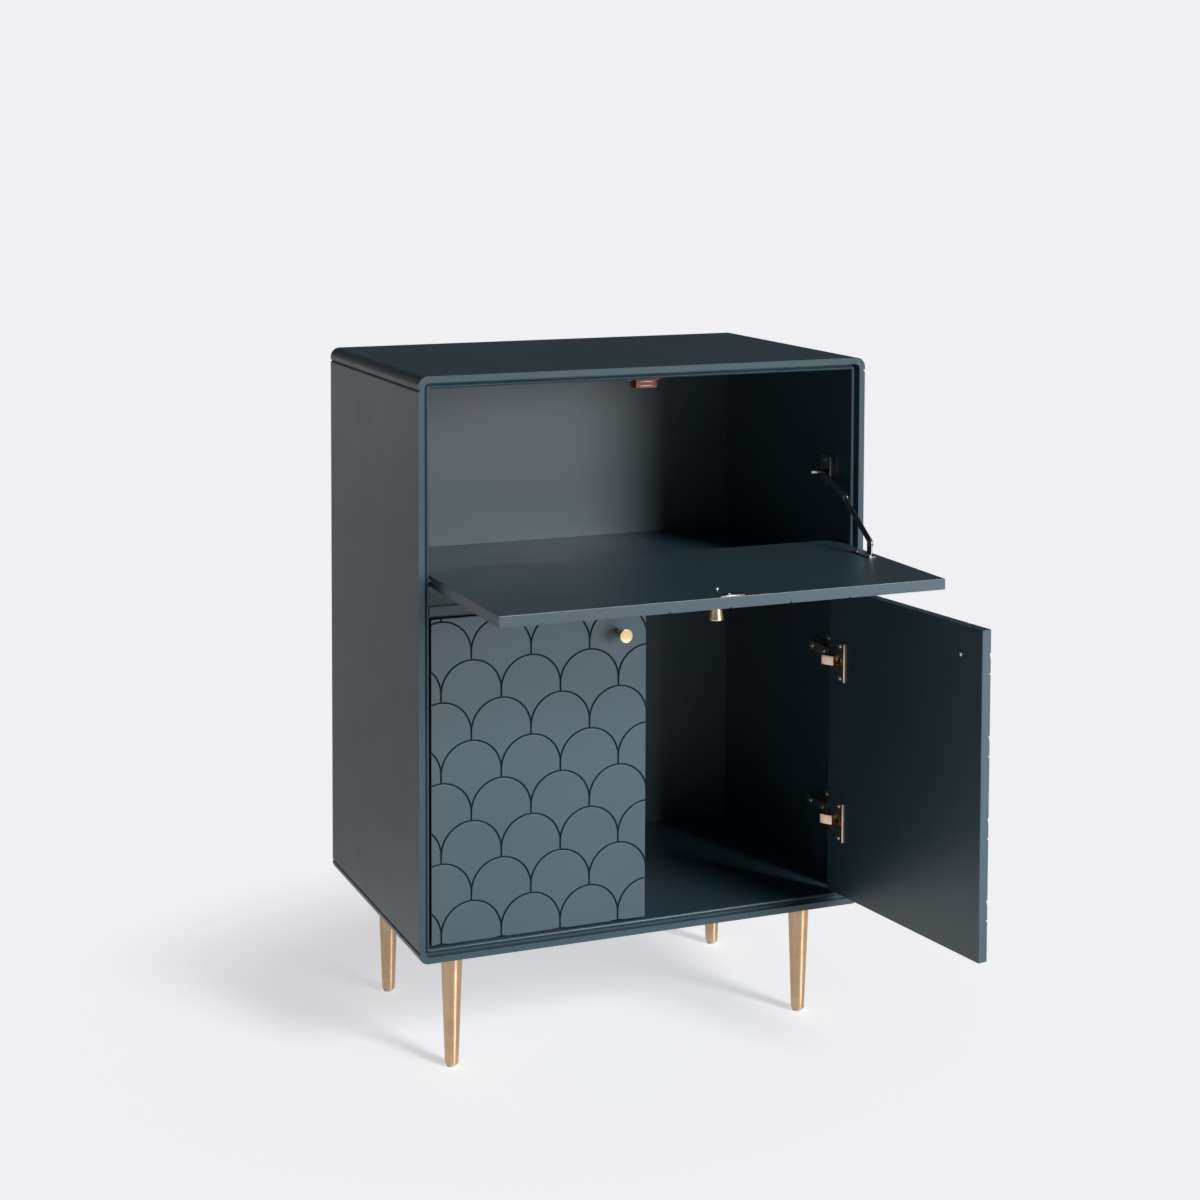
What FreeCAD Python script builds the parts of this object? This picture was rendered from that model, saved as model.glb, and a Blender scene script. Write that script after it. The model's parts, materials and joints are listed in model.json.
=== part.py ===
import FreeCAD, Part
import math
import os
import Sketcher

# Driving dimensions in millimetres, angles in degrees

SIZES = {
    "cabinet_width": 700,
    "cabinet_depth": 410,
    "cabinet_height": 1000,
    "leg_clearance": 178,
    "board_thickness": 18,
    "seam_width": 4,
    "seam_depth": 3,
    "rim_width": 9,
    "rim_depth": 10,
    "rim_corner_radius": 8,
    "bead_radius": 3,
    "front_setback": 7,
    "back_thickness": 6,
    "back_recess": 5,
    "rebate_width": 9,
    "rebate_clearance": 0.5,
    "upper_opening_height": 302,
    "shelf_thickness": 15,
    "shelf_edge_radius": 2,
    "front_thickness": 15,
    "side_gap": 3,
    "meeting_gap": 4,
    "door_gap": 4.5,
    "flap_gap": 2.5,
    "scale_radius": 45,
    "scale_row": 57,
    "groove_width": 3,
    "groove_depth": 2,
    "hinge_axis_inset": 9.7,
    "hinge_axis_forward": 0.8,
    "door_open_angle": 98.3,
    "flap_pivot_height": 32,
    "flap_pivot_depth": 8.5,
    "flap_open_angle": 90,
    "pin_radius": 3.5,
    "pin_seat": 10,
    "knob_length": 27,
    "knob_base_radius": 5.75,
    "knob_face_radius": 10,
    "knob_thread_depth": 12,
    "door_knob_inset": 43,
    "door_knob_drop": 40.5,
    "flap_knob_offset": 5,
    "flap_knob_drop": 52,
    "knob_screw_head_radius": 4,
    "knob_screw_head_height": 2.2,
    "knob_screw_radius": 2,
    "small_screw_head_radius": 3.6,
    "small_screw_head_height": 1.8,
    "small_screw_radius": 1.7,
    "small_screw_length": 9,
    "hinge_end_distance": 110,
    "cup_radius": 17.5,
    "cup_edge_distance": 20.5,
    "cup_depth": 11,
    "cup_pocket_width": 31,
    "cup_pocket_height": 9.6,
    "cup_floor": 1,
    "flange_thickness": 1.4,
    "flange_overlap": 0.6,
    "flange_height": 59,
    "flange_ear_width": 12,
    "cup_screw_spacing": 48,
    "cup_screw_offset": 5,
    "link_pin_from_wall": 7.26,
    "link_pin_behind_door": 5.2,
    "link_reach": 37.94,
    "link_turn": 44.31,
    "link_thickness": 2,
    "link_height": 9,
    "link_eye_radius": 2.4,
    "link_pin_radius": 1.2,
    "arm_height": 14,
    "arm_metal": 2,
    "arm_depth": 12.5,
    "arm_web_start": 22,
    "arm_end": 78,
    "plate_metal": 2,
    "plate_start": 33,
    "plate_end": 80,
    "plate_height": 16,
    "plate_wing_height": 44,
    "plate_wing_width": 12,
    "plate_wing_place": 43,
    "plate_screw_spacing": 32,
    "stay_pivot_behind_rim": 70,
    "stay_pivot_above_shelf": 140.5,
    "stay_ear_height": 18,
    "stay_ear_place": 91.5,
    "stay_upper_length": 76,
    "stay_lower_length": 92.5,
    "stay_link_radius": 5,
    "stay_link_metal": 2,
    "stay_link_gap": 0.3,
    "stay_link_from_wall": 11.7,
    "stay_pin_radius": 2,
    "stay_bolt_radius": 2.5,
    "stay_bolt_head_radius": 4.25,
    "stay_bolt_head_length": 18,
    "stay_rivet_head_radius": 3.5,
    "stay_rivet_head_height": 1,
    "wall_bracket_width": 38,
    "wall_bracket_height": 40,
    "wall_bracket_front": 15,
    "wall_bracket_drop": 15.5,
    "wall_bracket_lip": 8,
    "wall_bracket_screw_back": 9,
    "wall_bracket_screw_up": 15.5,
    "flap_bracket_width": 12.7,
    "flap_bracket_low": 31,
    "flap_bracket_length": 49,
    "flap_bracket_ear_radius": 6,
    "flap_bracket_screw_edge": 6,
    "curl_radius": 2.5,
    "curl_wire": 1,
    "curl_tail": 5,
    "catch_width": 33,
    "catch_height": 15,
    "catch_depth": 19,
    "catch_flange_width": 50,
    "catch_flange_height": 3,
    "catch_offset": 5,
    "catch_air_gap": 0.3,
    "pole_width": 20,
    "pole_thickness": 1.5,
    "pole_proud": 0.5,
    "pole_spacing": 6,
    "strike_width": 37,
    "strike_height": 14,
    "strike_thickness": 1,
    "strike_edge_distance": 4,
    "leg_top_radius": 16,
    "leg_foot_radius": 9.75,
    "leg_side_inset": 70,
    "leg_front_inset": 60,
    "leg_back_inset": 65,
    "glide_radius": 7.5,
    "glide_height": 4,
    "glide_stem_radius": 2,
    "glide_stem_length": 10,
    "stud_radius": 4,
    "stud_in_leg": 25,
    "stud_in_board": 12,
    "back_screw_length": 18,
    "hole_clearance": 0.1,
    "running_clearance": 0.05,
    "thin_clearance": 0.15,
    "overrun": 2,
}

doc = FreeCAD.newDocument("bar_cabinet")
sheet = doc.addObject("Spreadsheet::Sheet", "Sizes")
for row, (name, value) in enumerate(SIZES.items(), 1):
    sheet.set(f"A{row}", name)
    sheet.set(f"B{row}", str(value))
    sheet.setAlias(f"B{row}", name)
doc.recompute()


class Size:
    """A length that is known as a number and as a formula of the sheet's cells."""

    def __init__(self, number, formula):
        self.number = number
        self.formula = formula

    def __float__(self):
        return float(self.number)

    def __add__(self, other):
        other = as_size(other)
        return Size(self.number + other.number, f"({self.formula} + {other.formula})")

    def __sub__(self, other):
        other = as_size(other)
        return Size(self.number - other.number, f"({self.formula} - {other.formula})")

    def __rsub__(self, other):
        return as_size(other) - self

    def __mul__(self, factor):
        return Size(self.number * factor, f"({self.formula} * {factor})")

    def __rmul__(self, factor):
        return self * factor

    def __truediv__(self, divisor):
        return Size(self.number / divisor, f"({self.formula} / {divisor})")

    def __neg__(self):
        return self * -1


def as_size(value):
    if isinstance(value, Size):
        return value
    return Size(value, str(value))


class SheetSizes:
    """Every cell of the sheet, read by its alias."""

    def __getattr__(self, name):
        return Size(float(getattr(sheet, name)), f"Sizes.{name}")


size = SheetSizes()
nodes = []
X_AXIS = FreeCAD.Vector(1, 0, 0)
Y_AXIS = FreeCAD.Vector(0, 1, 0)
Z_AXIS = FreeCAD.Vector(0, 0, 1)
LEFT = -1
RIGHT = 1
SIDE_NAMES = {LEFT: "left", RIGHT: "right"}
SCREW_SIDES = 6
CUP_SIDES = 20
PIN_SIDES = 12
ROUND_SIDES = 32
CURL_SIDES = 12
ARCH_SIDES = 6
LINK_STEPS = 6

# Planes of the cabinet that its pieces share

half_width = size.cabinet_width / 2
inner_half = half_width - size.board_thickness
front_plane = -size.cabinet_depth / 2
back_plane = size.cabinet_depth / 2
floor_level = size.leg_clearance + size.board_thickness
ceiling_level = size.cabinet_height - size.board_thickness
corner_radius = size.board_thickness - size.seam_width
back_panel_face = back_plane - size.back_recess - size.back_thickness
shelf_top = ceiling_level - size.upper_opening_height
shelf_underside = shelf_top - size.shelf_thickness
front_face = front_plane + size.front_setback
front_inner_face = front_face + size.front_thickness
front_half = inner_half - size.side_gap
door_low = floor_level + size.door_gap
door_high = shelf_underside - size.door_gap
flap_low = shelf_top + size.flap_gap
flap_high = ceiling_level - size.flap_gap


def point(across, back, up):
    return FreeCAD.Vector(float(across), float(back), float(up))


def bind(thing, setting, value):
    """Ties one setting of a piece to the sheet."""
    thing.setExpression(setting, as_size(value).formula)


def keep(thing, label):
    thing.Label = label
    nodes.append(thing)
    return thing


def facing(place, direction):
    """The placement that stands a piece's own Z axis at a place, along a direction."""
    return FreeCAD.Placement(place, FreeCAD.Rotation(Z_AXIS, direction))


def turned_about(place, axis, angle):
    """The placement that swings a piece about an axis through a place."""
    return FreeCAD.Placement(FreeCAD.Vector(), FreeCAD.Rotation(axis, float(angle)), place)


# Sketch and feature helpers


def new_body(label):
    return doc.addObject("PartDesign::Body", label)


def new_sketch(body, role, shift=0):
    """An empty sketch on one of the body's own planes, shifted along the plane's normal."""
    plane = next(item for item in body.Origin.OriginFeatures if item.Role == role)
    sketch = body.newObject("Sketcher::SketchObject", body.Name + "_sketch")
    sketch.AttachmentSupport = [(plane, "")]
    sketch.MapMode = "FlatFace"
    bind(sketch, "AttachmentOffset.Base.z", shift)
    return sketch


def hold_point(sketch, piece, end, across, up):
    """Fixes one point of a sketch by its two distances from the sketch's origin."""
    for kind, value, axis in (("DistanceX", across, -2), ("DistanceY", up, -1)):
        value = as_size(value)
        if value.number == 0:
            sketch.addConstraint(Sketcher.Constraint("PointOnObject", piece, end, axis))
        else:
            row = sketch.addConstraint(Sketcher.Constraint(kind, -1, 1, piece, end, value.number))
            bind(sketch, f"Constraints[{row}]", value)


def arc_between(start, end, radius):
    """A minor arc; a positive radius turns left from start to end and a negative one turns right."""
    half = (end - start) * 0.5
    height = math.sqrt(max(radius * radius - half.Length * half.Length, 0))
    side = FreeCAD.Vector(-half.y, half.x, 0).normalize() * math.copysign(height, radius)
    centre = start + half + side
    first, last = (start, end) if radius > 0 else (end, start)
    low = math.atan2(first.y - centre.y, first.x - centre.x)
    high = math.atan2(last.y - centre.y, last.x - centre.x)
    circle = Part.Circle(centre, Z_AXIS, abs(radius))
    return Part.ArcOfCircle(circle, low, high if high > low else high + 2 * math.pi)


def draw(sketch, corners):
    """A closed outline. Each corner is (across, up), or (across, up, radius) at the end of an arc."""
    places = [point(corner[0], corner[1], 0) for corner in corners]
    ends = []
    for index, corner in enumerate(corners):
        start = places[index - 1]
        if len(corner) == 2:
            piece = sketch.addGeometry(Part.LineSegment(start, places[index]))
            ends.append((piece, 1, 2))
        else:
            piece = sketch.addGeometry(arc_between(start, places[index], float(corner[2])))
            ends.append((piece, 1, 2) if float(corner[2]) > 0 else (piece, 2, 1))
    for index, corner in enumerate(corners):
        piece, start, end = ends[index]
        following, next_start, next_end = ends[(index + 1) % len(ends)]
        sketch.addConstraint(Sketcher.Constraint("Coincident", piece, end, following, next_start))
        hold_point(sketch, piece, end, corner[0], corner[1])
        if len(corner) == 3:
            radius = as_size(corner[2])
            radius = radius if radius.number > 0 else -radius
            row = sketch.addConstraint(Sketcher.Constraint("Radius", piece, radius.number))
            bind(sketch, f"Constraints[{row}]", radius)


def pad(label, role, shift, corners, length):
    """A body padded from one outline."""
    body = new_body(label)
    sketch = new_sketch(body, role, shift)
    draw(sketch, corners)
    feature = body.newObject("PartDesign::Pad", body.Name + "_pad")
    feature.Profile = sketch
    bind(feature, "Length", length)
    return body


def rectangle(left, low, right, high):
    return [(left, low), (right, low), (right, high), (left, high)]


def many_sided_ring(radius, sides):
    """The corners of a regular outline about the origin, with its first corner on the X axis."""
    turns = [2 * math.pi * step / sides for step in range(sides)]
    return [point(float(radius) * math.cos(turn), float(radius) * math.sin(turn), 0) for turn in turns]


def faceted(first_ring, last_ring):
    """A closed solid between two like rings of corners, with flat sides from one to the other."""
    faces = [Part.Face(Part.makePolygon(ring + ring[:1])) for ring in (first_ring, last_ring)]
    for index, corner in enumerate(first_ring):
        side = [first_ring[index - 1], corner, last_ring[index], last_ring[index - 1]]
        faces.append(Part.Face(Part.makePolygon(side + side[:1])))
    solid = Part.makeSolid(Part.makeShell(faces))
    if solid.Volume < 0:
        solid.reverse()
    return solid


def taper(label, low_radius, high_radius, length):
    """A round taper that stands on its own origin."""
    low_ring = many_sided_ring(low_radius, ROUND_SIDES)
    high_ring = [place + Z_AXIS * float(length) for place in many_sided_ring(high_radius, ROUND_SIDES)]
    body = doc.addObject("Part::Feature", label)
    body.Shape = faceted(low_ring, high_ring)
    return body


def rod(radius, length, place, sides=SCREW_SIDES):
    """A many-sided rod that reaches back from a placement, used to cut holes."""
    ring = many_sided_ring(radius, sides)
    solid = Part.Face(Part.makePolygon(ring + ring[:1])).extrude(point(0, 0, -length))
    solid.Placement = place
    return solid


def block(left, front, low, right, back, high):
    """A plain box between two opposite corners, used in cuts."""
    corner = point(min(float(left), float(right)), front, low)
    spans = (abs(float(right) - float(left)), float(back) - float(front), float(high) - float(low))
    return Part.makeBox(*spans, corner)


def drilled(blank, label, tools):
    """The blank less its tools, as one cut of the document."""
    tool = doc.addObject("Part::Feature", label + "_tools")
    tool.Shape = Part.makeCompound(tools)
    blank.Label = label + "_blank"
    cut = doc.addObject("Part::Cut", label)
    cut.Base = blank
    cut.Tool = tool
    return cut


def cut_away(label, blank, tools):
    return keep(drilled(blank, label, tools), label)


def screw_pattern(label, head_radius, head_height, shank_radius, shank_length):
    """A screw that stands on its own origin with its head up and its shank down."""
    head = doc.addObject("Part::Prism", label + "_head")
    bind(head, "Circumradius", head_radius)
    bind(head, "Height", head_height)
    shank = doc.addObject("Part::Prism", label + "_shank")
    bind(shank, "Circumradius", shank_radius)
    bind(shank, "Height", shank_length)
    bind(shank, "Placement.Base.z", -as_size(shank_length))
    for prism in (head, shank):
        prism.Polygon = SCREW_SIDES
    screw = doc.addObject("Part::MultiFuse", label + "_pattern")
    screw.Shapes = [head, shank]
    doc.recompute()
    return screw


def copies(label, pattern, places):
    """One node that holds a copy of a pattern at each place."""
    group = doc.addObject("Part::Feature", label)
    solids = []
    for place in places:
        solid = pattern.Shape.copy()
        solid.Placement = place.multiply(solid.Placement)
        solids.append(solid)
    group.Shape = Part.makeCompound(solids)
    return keep(group, label)


# Rim: the step, the cove and the bead that run round the front opening


def rounded_loop(inset, radius, back):
    """A rounded rectangle, inset from the cabinet's outline, as one closed wire."""
    right = float(half_width - inset)
    low = float(size.leg_clearance + inset)
    high = float(size.cabinet_height - inset)
    bend = float(radius)
    diagonal = bend * (1 - math.sqrt(0.5))
    edges = []
    corners = ((right, low, 1, -1), (right, high, 1, 1), (-right, high, -1, 1), (-right, low, -1, -1))
    ends = []
    for across, up, out, rise in corners:
        side = point(across, back, up - rise * bend)
        level = point(across - out * bend, back, up)
        middle = point(across - out * diagonal, back, up - rise * diagonal)
        first, last = (level, side) if out * rise < 0 else (side, level)
        edges.append(Part.Arc(first, middle, last).toShape())
        ends.append((first, last))
    for index, (first, last) in enumerate(ends):
        edges.append(Part.makeLine(last, ends[(index + 1) % len(ends)][0]))
    return Part.Wire(Part.__sortEdges__(edges))


def rim_cutter():
    """The recess in front of the bead, with the hollow cove swept round between rim and bead."""
    outer = rounded_loop(size.rim_width, size.rim_corner_radius, front_plane - size.overrun)
    recess = Part.Face(outer).extrude(point(0, size.front_setback + size.overrun, 0))
    path = rounded_loop(size.rim_width, size.rim_corner_radius, front_plane)
    rim_edge = half_width - size.rim_width
    bead_edge = inner_half + size.bead_radius
    middle = float(floor_level + ceiling_level) / 2
    face = float(front_face)
    crease = float(front_plane + size.rim_depth)
    hollow_share = 0.4
    turn_back_share = 0.9
    turn = float(rim_edge) + (float(bead_edge) - float(rim_edge)) * hollow_share
    depth = face + (crease - face) * turn_back_share
    start = point(rim_edge, face - float(size.overrun), middle)
    corners = [start, point(rim_edge, crease, middle)]
    lines = [Part.makeLine(corners[0], corners[1])]
    bead_top = point(bead_edge, face, middle)
    lines.append(Part.Arc(corners[1], point(turn, depth, middle), bead_top).toShape())
    above = point(bead_edge, face - float(size.overrun), middle)
    lines.append(Part.makeLine(bead_top, above))
    lines.append(Part.makeLine(above, start))
    cove = path.makePipeShell([Part.Wire(lines)], True, False, 2)
    return recess.fuse(cove)


def bead_corner(level_edge, side_edge):
    """The sliver that rounds the bead's inner edge, along one straight side of the opening."""
    face = float(front_face)
    radius = float(size.bead_radius)
    over = float(size.overrun)
    inner = float(inner_half)
    low = float(floor_level)
    high = float(ceiling_level)
    slope = radius * math.sqrt(0.5)
    if side_edge:
        start = point(side_edge * (inner - over), face - over, low)
        shape = [
            start,
            point(side_edge * (inner + radius), face - over, low),
            point(side_edge * (inner + radius), face, low),
            point(side_edge * (inner + radius - slope), face + radius - slope, low),
            point(side_edge * inner, face + radius, low),
            point(side_edge * (inner - over), face + radius, low),
        ]
        run = point(0, 0, high - low)
    else:
        edge = high if level_edge > 0 else low
        start = point(-inner, face - over, edge - level_edge * over)
        shape = [
            start,
            point(-inner, face - over, edge + level_edge * radius),
            point(-inner, face, edge + level_edge * radius),
            point(-inner, face + radius - slope, edge + level_edge * (radius - slope)),
            point(-inner, face + radius, edge),
            point(-inner, face + radius, edge - level_edge * over),
        ]
        run = point(2 * inner, 0, 0)
    edges = [
        Part.makeLine(shape[0], shape[1]),
        Part.makeLine(shape[1], shape[2]),
        Part.Arc(shape[2], shape[3], shape[4]).toShape(),
        Part.makeLine(shape[4], shape[5]),
        Part.makeLine(shape[5], shape[0]),
    ]
    return Part.Face(Part.Wire(edges)).extrude(run)


def rebate_cutter():
    """The rebate in the boards' back edges that takes the back panel."""
    reach = inner_half + size.rebate_width
    low = floor_level - size.rebate_width
    high = ceiling_level + size.rebate_width
    return block(-reach, back_panel_face, low, reach, back_plane + size.overrun, high)


# Screw patterns that several groups share

small_screw = screw_pattern(
    "small_screw",
    size.small_screw_head_radius,
    size.small_screw_head_height,
    size.small_screw_radius,
    size.small_screw_length,
)
knob_screw_length = size.front_thickness + size.knob_thread_depth - size.hole_clearance
knob_screw = screw_pattern(
    "knob_screw",
    size.knob_screw_head_radius,
    size.knob_screw_head_height,
    size.knob_screw_radius,
    knob_screw_length,
)
back_screw = screw_pattern(
    "back_screw",
    size.small_screw_head_radius,
    size.small_screw_head_height,
    size.small_screw_radius,
    size.back_screw_length,
)
small_hole_radius = size.small_screw_radius + size.hole_clearance


def screw_hole(place, length):
    """The hole of one small screw, from the face that its head sits on, ending past its point."""
    return rod(small_hole_radius, length + size.hole_clearance, place)


# Places where the boards carry other pieces

hinge_levels = {
    "lower": door_low + size.hinge_end_distance,
    "upper": door_high - size.hinge_end_distance,
}
plate_row = front_inner_face + size.plate_wing_place
flap_pivot_back = front_face + size.flap_pivot_depth
flap_pivot_level = flap_low + size.flap_pivot_height
stay_pivot_back = front_plane + size.stay_pivot_behind_rim
stay_pivot_level = shelf_top + size.stay_pivot_above_shelf
leg_across = half_width - size.leg_side_inset
leg_rows = {
    "front": front_plane + size.leg_front_inset,
    "back": back_plane - size.leg_back_inset,
}
catch_front = front_inner_face + size.strike_thickness + size.catch_air_gap
catch_row = catch_front + size.catch_depth / 2
catch_screw_reach = (size.catch_width + size.catch_flange_width) / 4


def plate_screw_places(side):
    """The two screws of each of one side's hinge plates, heads inward."""
    places = []
    face = side * (inner_half - size.plate_metal)
    for level in hinge_levels.values():
        for step in (-1, 1):
            height = level + step * size.plate_screw_spacing / 2
            places.append(facing(point(face, plate_row, height), X_AXIS * -side))
    return places


def back_screw_places():
    """Screws round the back panel, near its corners: two in each of the four boards."""
    face = back_plane - size.back_recess
    edge = inner_half + size.rebate_width / 2
    low = floor_level - size.rebate_width / 2
    high = ceiling_level + size.rebate_width / 2
    places = []
    middle = (floor_level + ceiling_level) / 2
    reach_share = 0.42
    reach = (ceiling_level - floor_level) * reach_share
    for side in (LEFT, RIGHT):
        for height in (middle - reach, middle + reach):
            places.append(point(side * edge, face, height))
        for height in (low, high):
            places.append(point(side * inner_half / 2, face, height))
    return [facing(place, Y_AXIS) for place in places]


def catch_screw_places():
    face = ceiling_level - size.catch_flange_height
    return [
        facing(point(size.catch_offset + side * catch_screw_reach, catch_row, face), -Z_AXIS)
        for side in (LEFT, RIGHT)
    ]


def wall_bracket_screw_place():
    face = inner_half - size.stay_link_metal
    back = stay_pivot_back + size.wall_bracket_screw_back
    height = stay_pivot_level + size.wall_bracket_screw_up
    return facing(point(face, back, height), -X_AXIS)


# Carcass boards


def make_carcass():
    rim = rim_cutter()
    rebate = rebate_cutter()
    radius = corner_radius
    depth = size.cabinet_depth
    wall = half_width
    top = size.cabinet_height
    base = size.leg_clearance
    top_blank = pad(
        "top_panel_board",
        "XZ_Plane",
        -back_plane,
        [
            (-wall, ceiling_level),
            (wall, ceiling_level),
            (wall, top - radius),
            (wall - radius, top, radius),
            (radius - wall, top),
            (-wall, top - radius, radius),
        ],
        depth,
    )
    back_holes = [screw_hole(place, size.back_screw_length) for place in back_screw_places()]
    small_length = size.small_screw_length
    catch_holes = [screw_hole(place, small_length) for place in catch_screw_places()]
    cut_away("top_panel", top_blank, [rim, rebate, bead_corner(1, 0)] + catch_holes + back_holes)

    bottom_blank = pad(
        "bottom_panel_board",
        "XZ_Plane",
        -back_plane,
        [
            (radius - wall, base, radius),
            (wall - radius, base),
            (wall, base + radius, radius),
            (wall - size.seam_depth, floor_level),
            (size.seam_depth - wall, floor_level),
            (-wall, base + radius),
        ],
        depth,
    )
    stud_depth = size.stud_in_board + size.hole_clearance
    stud_holes = []
    for side in (LEFT, RIGHT):
        for row in leg_rows.values():
            start = facing(point(side * leg_across, row, base), -Z_AXIS)
            stud_holes.append(rod(size.stud_radius + size.hole_clearance, stud_depth, start))
    cut_away("bottom_panel", bottom_blank, [rim, rebate, bead_corner(-1, 0)] + stud_holes + back_holes)

    pin_depth = size.pin_seat + size.hole_clearance
    for side in (LEFT, RIGHT):
        blank = pad(
            f"{SIDE_NAMES[side]}_side_board",
            "XZ_Plane",
            -back_plane,
            [
                (side * inner_half, floor_level),
                (side * wall, floor_level),
                (side * wall, ceiling_level - size.seam_width),
                (side * (wall - size.seam_depth), ceiling_level),
                (side * inner_half, ceiling_level),
            ],
            depth,
        )
        tools = [rim, rebate, bead_corner(0, side)] + back_holes
        tools += [screw_hole(place, small_length) for place in plate_screw_places(side)]
        pin_place = point(side * inner_half, flap_pivot_back, flap_pivot_level)
        pin_hole = size.pin_radius + size.running_clearance
        tools.append(Part.makeCylinder(float(pin_hole), float(pin_depth), pin_place, X_AXIS * side))
        if side == RIGHT:
            tools.append(screw_hole(wall_bracket_screw_place(), small_length))
            bolt_place = facing(point(inner_half, stay_pivot_back, stay_pivot_level), -X_AXIS)
            tools.append(rod(size.stay_bolt_radius + size.hole_clearance, small_length, bolt_place, PIN_SIDES))
        cut_away(f"{SIDE_NAMES[side]}_side_panel", blank, tools)

    reach = inner_half + size.rebate_width - size.rebate_clearance
    low = floor_level - size.rebate_width + size.rebate_clearance
    high = ceiling_level + size.rebate_width - size.rebate_clearance
    back_blank = pad(
        "back_board",
        "XZ_Plane",
        size.back_recess - back_plane,
        rectangle(-reach, low, reach, high),
        size.back_thickness,
    )
    cut_away("back_panel", back_blank, back_holes)
    copies("back_panel_screws", back_screw, back_screw_places())

    edge = size.shelf_edge_radius
    shelf = pad(
        "middle_shelf",
        "YZ_Plane",
        -inner_half,
        [
            (front_face + edge, shelf_underside, edge),
            (back_panel_face, shelf_underside),
            (back_panel_face, shelf_top),
            (front_face + edge, shelf_top),
            (front_face, shelf_top - edge, edge),
            (front_face, shelf_underside + edge),
        ],
        inner_half * 2,
    )
    keep(shelf, "middle_shelf")


# Scaled fronts: a flat board under a field of scales, parted by grooves of V section


def scale_outline(centre, level):
    """One scale in the plane of the front: an arch on short sides over the arches of the row below."""
    radius = float(size.scale_radius)
    row = float(size.scale_row)
    quarter = ARCH_SIDES // 2
    step = math.pi / ARCH_SIDES
    corners = []
    for index in range(ARCH_SIDES + 1):
        turn = index * step
        corners.append((centre + radius * math.cos(turn), level + radius * math.sin(turn)))
    for index in range(quarter + 1):
        turn = math.pi / 2 - index * step
        corners.append((centre - radius + radius * math.cos(turn), level - row + radius * math.sin(turn)))
    for index in range(1, quarter + 1):
        turn = math.pi - index * step
        corners.append((centre + radius + radius * math.cos(turn), level - row + radius * math.sin(turn)))
    return corners


def drawn_in(corners, gap):
    """The same outline with every edge moved inward by a gap."""
    moved = []
    for index, (across, up) in enumerate(corners):
        before = corners[index - 1]
        after = corners[(index + 1) % len(corners)]
        first = FreeCAD.Vector(across - before[0], up - before[1], 0).normalize()
        second = FreeCAD.Vector(after[0] - across, after[1] - up, 0).normalize()
        normal_one = FreeCAD.Vector(-first.y, first.x, 0)
        normal_two = FreeCAD.Vector(-second.y, second.x, 0)
        mitre = (normal_one + normal_two) * (gap / (1 + normal_one.dot(normal_two)))
        moved.append((across + mitre.x, up + mitre.y))
    return moved


def scale_solid(centre, level):
    """One raised scale with sloping sides, from the groove's bottom to the outer face."""
    face = float(front_face)
    depth = float(size.groove_depth)
    foot = scale_outline(centre, level)
    crown = drawn_in(foot, float(size.groove_width) / 2)
    foot_ring = [point(across, face + depth, up) for across, up in foot]
    crown_ring = [point(across, face, up) for across, up in crown]
    return faceted(foot_ring, crown_ring)


def scaled_front(left, low, right, high):
    """A front between two opposite corners, its scales counted up from its lower edge."""
    groove_floor = front_face + size.groove_depth
    board = block(left, groove_floor, low, right, front_inner_face, high)
    field = block(left, front_face, low, right, groove_floor, high)
    radius = float(size.scale_radius)
    row = float(size.scale_row)
    start = min(float(left), float(right))
    end = max(float(left), float(right))
    scales = []
    for row_number in range(1, int((float(high) - float(low)) / row) + 3):
        level = float(low) + row_number * row - radius
        phase = (row_number + 1) % 2
        first = int(math.floor(start / radius)) - 1
        last = int(math.ceil(end / radius)) + 1
        for column in range(first, last + 1):
            if column % 2 == phase:
                continue
            scale = scale_solid((column + 1) * radius, level)
            box = scale.BoundBox
            inside = box.XMin > start and box.XMax < end and box.ZMin > float(low) and box.ZMax < float(high)
            scales += [scale] if inside else scale.common(field).Solids
    return board.multiFuse(scales).removeSplitter()


def knob_place(side):
    """Where a door's knob stands on the outer face, with the door closed."""
    return point(side * (size.meeting_gap / 2 + size.door_knob_inset), front_face, door_high - size.door_knob_drop)


flap_knob_place = point(size.flap_knob_offset, front_face, flap_high - size.flap_knob_drop)


def knob_screw_hole(place):
    """The hole through a front behind its knob."""
    return rod(
        size.knob_screw_radius + size.hole_clearance,
        size.front_thickness + size.overrun * 2,
        facing(place + Y_AXIS * float(size.front_thickness + size.overrun), Y_AXIS),
    )


def cup_centre(side, level):
    """The middle of a hinge cup's mouth on the door's inner face."""
    return point(side * (front_half - size.cup_edge_distance), front_inner_face, level)


def cup_screw_places(side):
    """The screws of one door's two hinge cups, heads on the flange."""
    places = []
    for level in hinge_levels.values():
        centre = cup_centre(side, level)
        for step in (-1, 1):
            offset = point(
                -side * size.cup_screw_offset,
                size.flange_thickness,
                step * size.cup_screw_spacing / 2,
            )
            places.append(facing(centre + offset, Y_AXIS))
    return places


swing = {
    LEFT: FreeCAD.Placement(),
    RIGHT: turned_about(
        point(front_half - size.hinge_axis_inset, front_face - size.hinge_axis_forward, 0),
        Z_AXIS,
        size.door_open_angle,
    ),
}
drop = turned_about(point(0, flap_pivot_back, flap_pivot_level), X_AXIS, size.flap_open_angle)


def carried(thing, label, carrier):
    """Keeps a piece that was made in its closed place and turns it with the front that carries it."""
    thing.Placement = carrier.multiply(thing.Placement)
    return keep(thing, label)


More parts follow.
